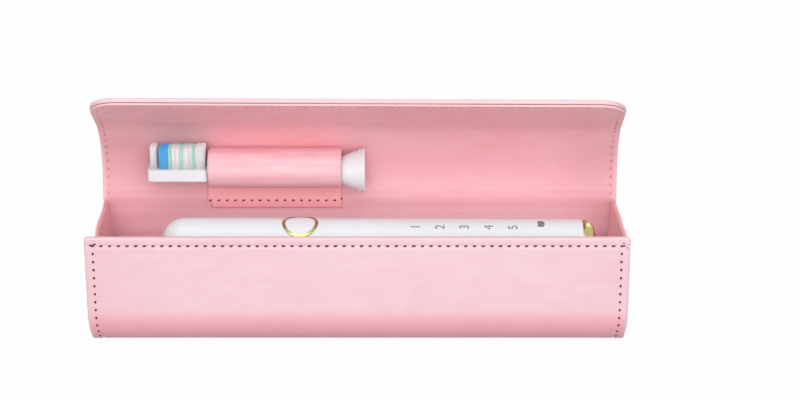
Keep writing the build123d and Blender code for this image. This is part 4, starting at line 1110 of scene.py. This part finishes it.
# shade: painted shade, the deeper coral of the loop's shaded underside and tab
LOOP = dict(shade=(1.0, 0.45, 0.475))
LOOKS = {  # what makes each look, its two colours and its other values
    "outer_leather": (leather_look, (0.83, 0.61, 0.655), (0.81, 0.50, 0.55), 0.16, OUTER),
    "inner_leather": (leather_look, (0.97, 0.59, 0.64), (0.96, 0.45, 0.485), 0.24, INNER),
    "loop_leather": (leather_look, (0.90, 0.62, 0.67), (0.88, 0.46, 0.51), 0.8, LOOP),
    "panel_leather": (leather_look, (0.96, 0.53, 0.58), (0.92, 0.43, 0.48), 0.2),
    "stiffener": (board_look, (0.50, 0.44, 0.38), (0.34, 0.29, 0.25)),
    "bed_foam": (foam_look, (0.80, 0.42, 0.48), (0.62, 0.27, 0.33)),
    # seam_thread: painted shade; the thread is as pink as the leather, and this dark maroon stands for the
    # shadowed needle holes along the seams.
    "seam_thread": (thread_look, (0.15, 0.026, 0.038), (0.085, 0.011, 0.019)),
    "side_thread": (thread_look, (0.72, 0.36, 0.39), (0.56, 0.23, 0.26)),
    "edge_thread": (thread_look, (0.80, 0.42, 0.46), (0.66, 0.29, 0.33)),
    "magnet_plate": (metal_look, (0.62, 0.62, 0.63), (0.50, 0.50, 0.52), 0.28),
    "gold_trim": (metal_look, (0.565, 0.52, 0.245), (0.44, 0.385, 0.13), 0.17),
    "steel": (metal_look, (0.66, 0.66, 0.67), (0.55, 0.55, 0.56), 0.2, 0.004),
    "copper_wire": (metal_look, (0.78, 0.38, 0.20), (0.62, 0.27, 0.13), 0.3, 0.01),
    "handle_white": (plastic_look, (0.745, 0.805, 0.825), (0.72, 0.78, 0.81), 0.30),
    "button_white": (plastic_look, (0.74, 0.785, 0.81), (0.715, 0.765, 0.795), 0.34),
    "brush_white": (plastic_look, (0.82, 0.85, 0.86), (0.79, 0.825, 0.84), 0.26, 0.5, 0.006),
    "band_white": (plastic_look, (0.80, 0.82, 0.84), (0.76, 0.785, 0.81), 0.3),
    "light_lens": (plastic_look, (0.80, 0.84, 0.86), (0.74, 0.79, 0.82), 0.15, 0.6, 0.004),
    "mark_grey": (plastic_look, (0.19, 0.20, 0.22), (0.15, 0.16, 0.18), 0.5),
    "grey_rubber": (plastic_look, (0.24, 0.24, 0.25), (0.18, 0.18, 0.19), 0.6, 0.5, 0.03),
    "chassis_plastic": (plastic_look, (0.30, 0.31, 0.33), (0.25, 0.26, 0.28), 0.45),
    "board_green": (plastic_look, (0.04, 0.22, 0.08), (0.03, 0.16, 0.06), 0.35, 0.8, 0.02),
    "cell_wrap": (plastic_look, (0.08, 0.22, 0.50), (0.06, 0.17, 0.42), 0.25),
    "bristle_white": (bristle_look, (0.965, 0.98, 0.985), (0.98, 0.99, 0.995)),
    "bristle_blue": (bristle_look, (0.055, 0.50, 1.0), (0.10, 0.61, 1.0)),
    "bristle_mint": (bristle_look, (0.45, 0.80, 0.66), (0.62, 0.92, 0.82)),
}
for slot, (make, *values) in LOOKS.items():
    more = values.pop() if isinstance(values[-1], dict) else {}
    LOOKS[slot] = make(slot, *values, **more)
for node in frame["nodes"].values():
    for place in node.material_slots:
        place.material = LOOKS[place.material.name]


# ---------------------------------------------------------------- what each piece rides on and stands for
PIECES = [  # piece, look, body (None where it bends across the hinge), the nodes that it stands for
    (outer_skin, "outer_leather", None, ("case_cover", "lid_cover", "hinge_strip", "hinge_fold")),
    (lining_skin, "inner_leather", None, ("case_lining", "lid_lining")),
    (loop_leather, "loop_leather", None, ("brush_loop",)),
    (loop_stitches, "seam_thread", None, ("loop_thread",)),
    (front_stitches, "seam_thread", "case", ("front_seam_thread",)),
    (side_stitches[0], "seam_thread", "case", ("left_seam_thread",)),
    (side_stitches[1], "seam_thread", "case", ("right_seam_thread",)),
    (lid_stitches, "seam_thread", "lid", ("lid_seam_thread",)),
    (left_panel, "panel_leather", "case", ("left_end_panel",)),
    (right_panel, "panel_leather", "case", ("right_end_panel",)),
    (left_facing, "inner_leather", "case", ("left_end_lining",)),
    (right_facing, "inner_leather", "case", ("right_end_lining",)),
    (foam_piece, "bed_foam", "case", ("foam_bed",)),
    (bristle_fields["white"], "bristle_white", "brush", ("white_bristles",)),
    (bristle_fields["blue"], "bristle_blue", "brush", ("blue_bristles",)),
    (bristle_fields["mint"], "bristle_mint", "brush", ("mint_bristles",)),
    (lid_side_stitches, "side_thread", None, ()),
    (lid_edge_stitches, "edge_thread", "lid", ()),
    (marks, "mark_grey", "handle", ()),
]
for piece, slot, body, nodes in PIECES:
    piece.data.materials.append(LOOKS[slot])
    if nodes:
        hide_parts(*nodes)
    if body:
        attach(piece, body)
    else:
        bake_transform(piece)


# ---------------------------------------------------------------- floor, light and camera
def stage_floor():
    """A plain pale floor that reads white and keeps a soft shadow."""
    bpy.ops.mesh.primitive_plane_add(size=6.0)
    floor = bpy.context.object
    floor.name = "floor"
    m = look("floor", Roughness=0.9, Specular_IOR_Level=0.1)
    seen, diffuse = m.seen()
    paper = m.mix(m.noise((300, 300, 300), 2.0), (0.88, 0.88, 0.88), (0.86, 0.86, 0.865))
    m.put(m.shader.inputs["Base Color"], m.mix(diffuse, paper, (0.42, 0.42, 0.42)))
    white = m.add("ShaderNodeEmission", {"Color": (1, 1, 1, 1), "Strength": 1.0}).outputs["Emission"]
    m.show(m.maths("MULTIPLY", seen, 0.95), m.shader.outputs["BSDF"], white)
    floor.data.materials.append(m.owner)


def stage_world():
    """A soft, slightly cool surround that is seen as plain white."""
    world = bpy.data.worlds.new("studio")
    bpy.context.scene.world = world
    w = Nodes(world)
    soft = w.tree.nodes["Background"]
    w.put(soft.inputs["Color"], (0.96, 0.98, 1.0, 1.0))
    w.put(soft.inputs["Strength"], 0.54)
    white = w.add("ShaderNodeBackground", {"Color": (1, 1, 1, 1), "Strength": 1.0})
    w.show(w.seen()[0], soft.outputs["Background"], white.outputs["Background"])


def soft_light(name, place, target, width, height, power):
    light = bpy.data.lights.new(name, "AREA")
    light.shape = "RECTANGLE"
    light.size, light.size_y, light.energy = width, height, power
    lamp = bpy.data.objects.new(name, light)
    lamp.location = place
    lamp.rotation_euler = (Vector(target) - Vector(place)).to_track_quat("-Z", "Y").to_euler()
    bpy.context.scene.collection.objects.link(lamp)


def stage_camera():
    camera = bpy.data.cameras.new("camera")
    camera.lens = 92.6
    camera.sensor_width = 36.0
    holder = bpy.data.objects.new("camera", camera)
    holder.location = (0.0176, -0.8194, 0.3533)
    holder.rotation_euler = (radians(70), 0, 0)
    bpy.context.scene.collection.objects.link(holder)
    bpy.context.scene.camera = holder


for spare in [o for o in bpy.context.scene.objects if o.name in ("Cube", "Light", "Camera")]:
    bpy.data.objects.remove(spare)
stage_floor()
stage_world()
soft_light("front_softbox", (0.2, -1.65, 0.76), (0, 0, 0.05), 1.6, 1.0, 16.0)
soft_light("low_softbox", (-0.1, -1.6, 0.24), (0, 0, 0.06), 1.5, 0.36, 3.6)
soft_light("top_softbox", (-0.2, -0.8, 1.5), (0, 0, 0.04), 1.4, 1.4, 9.0)
soft_light("back_softbox", (0.3, 1.6, 0.8), (0, 0, 0.05), 1.6, 1.0, 6.0)
stage_camera()
bpy.context.scene.view_settings.view_transform = "Standard"
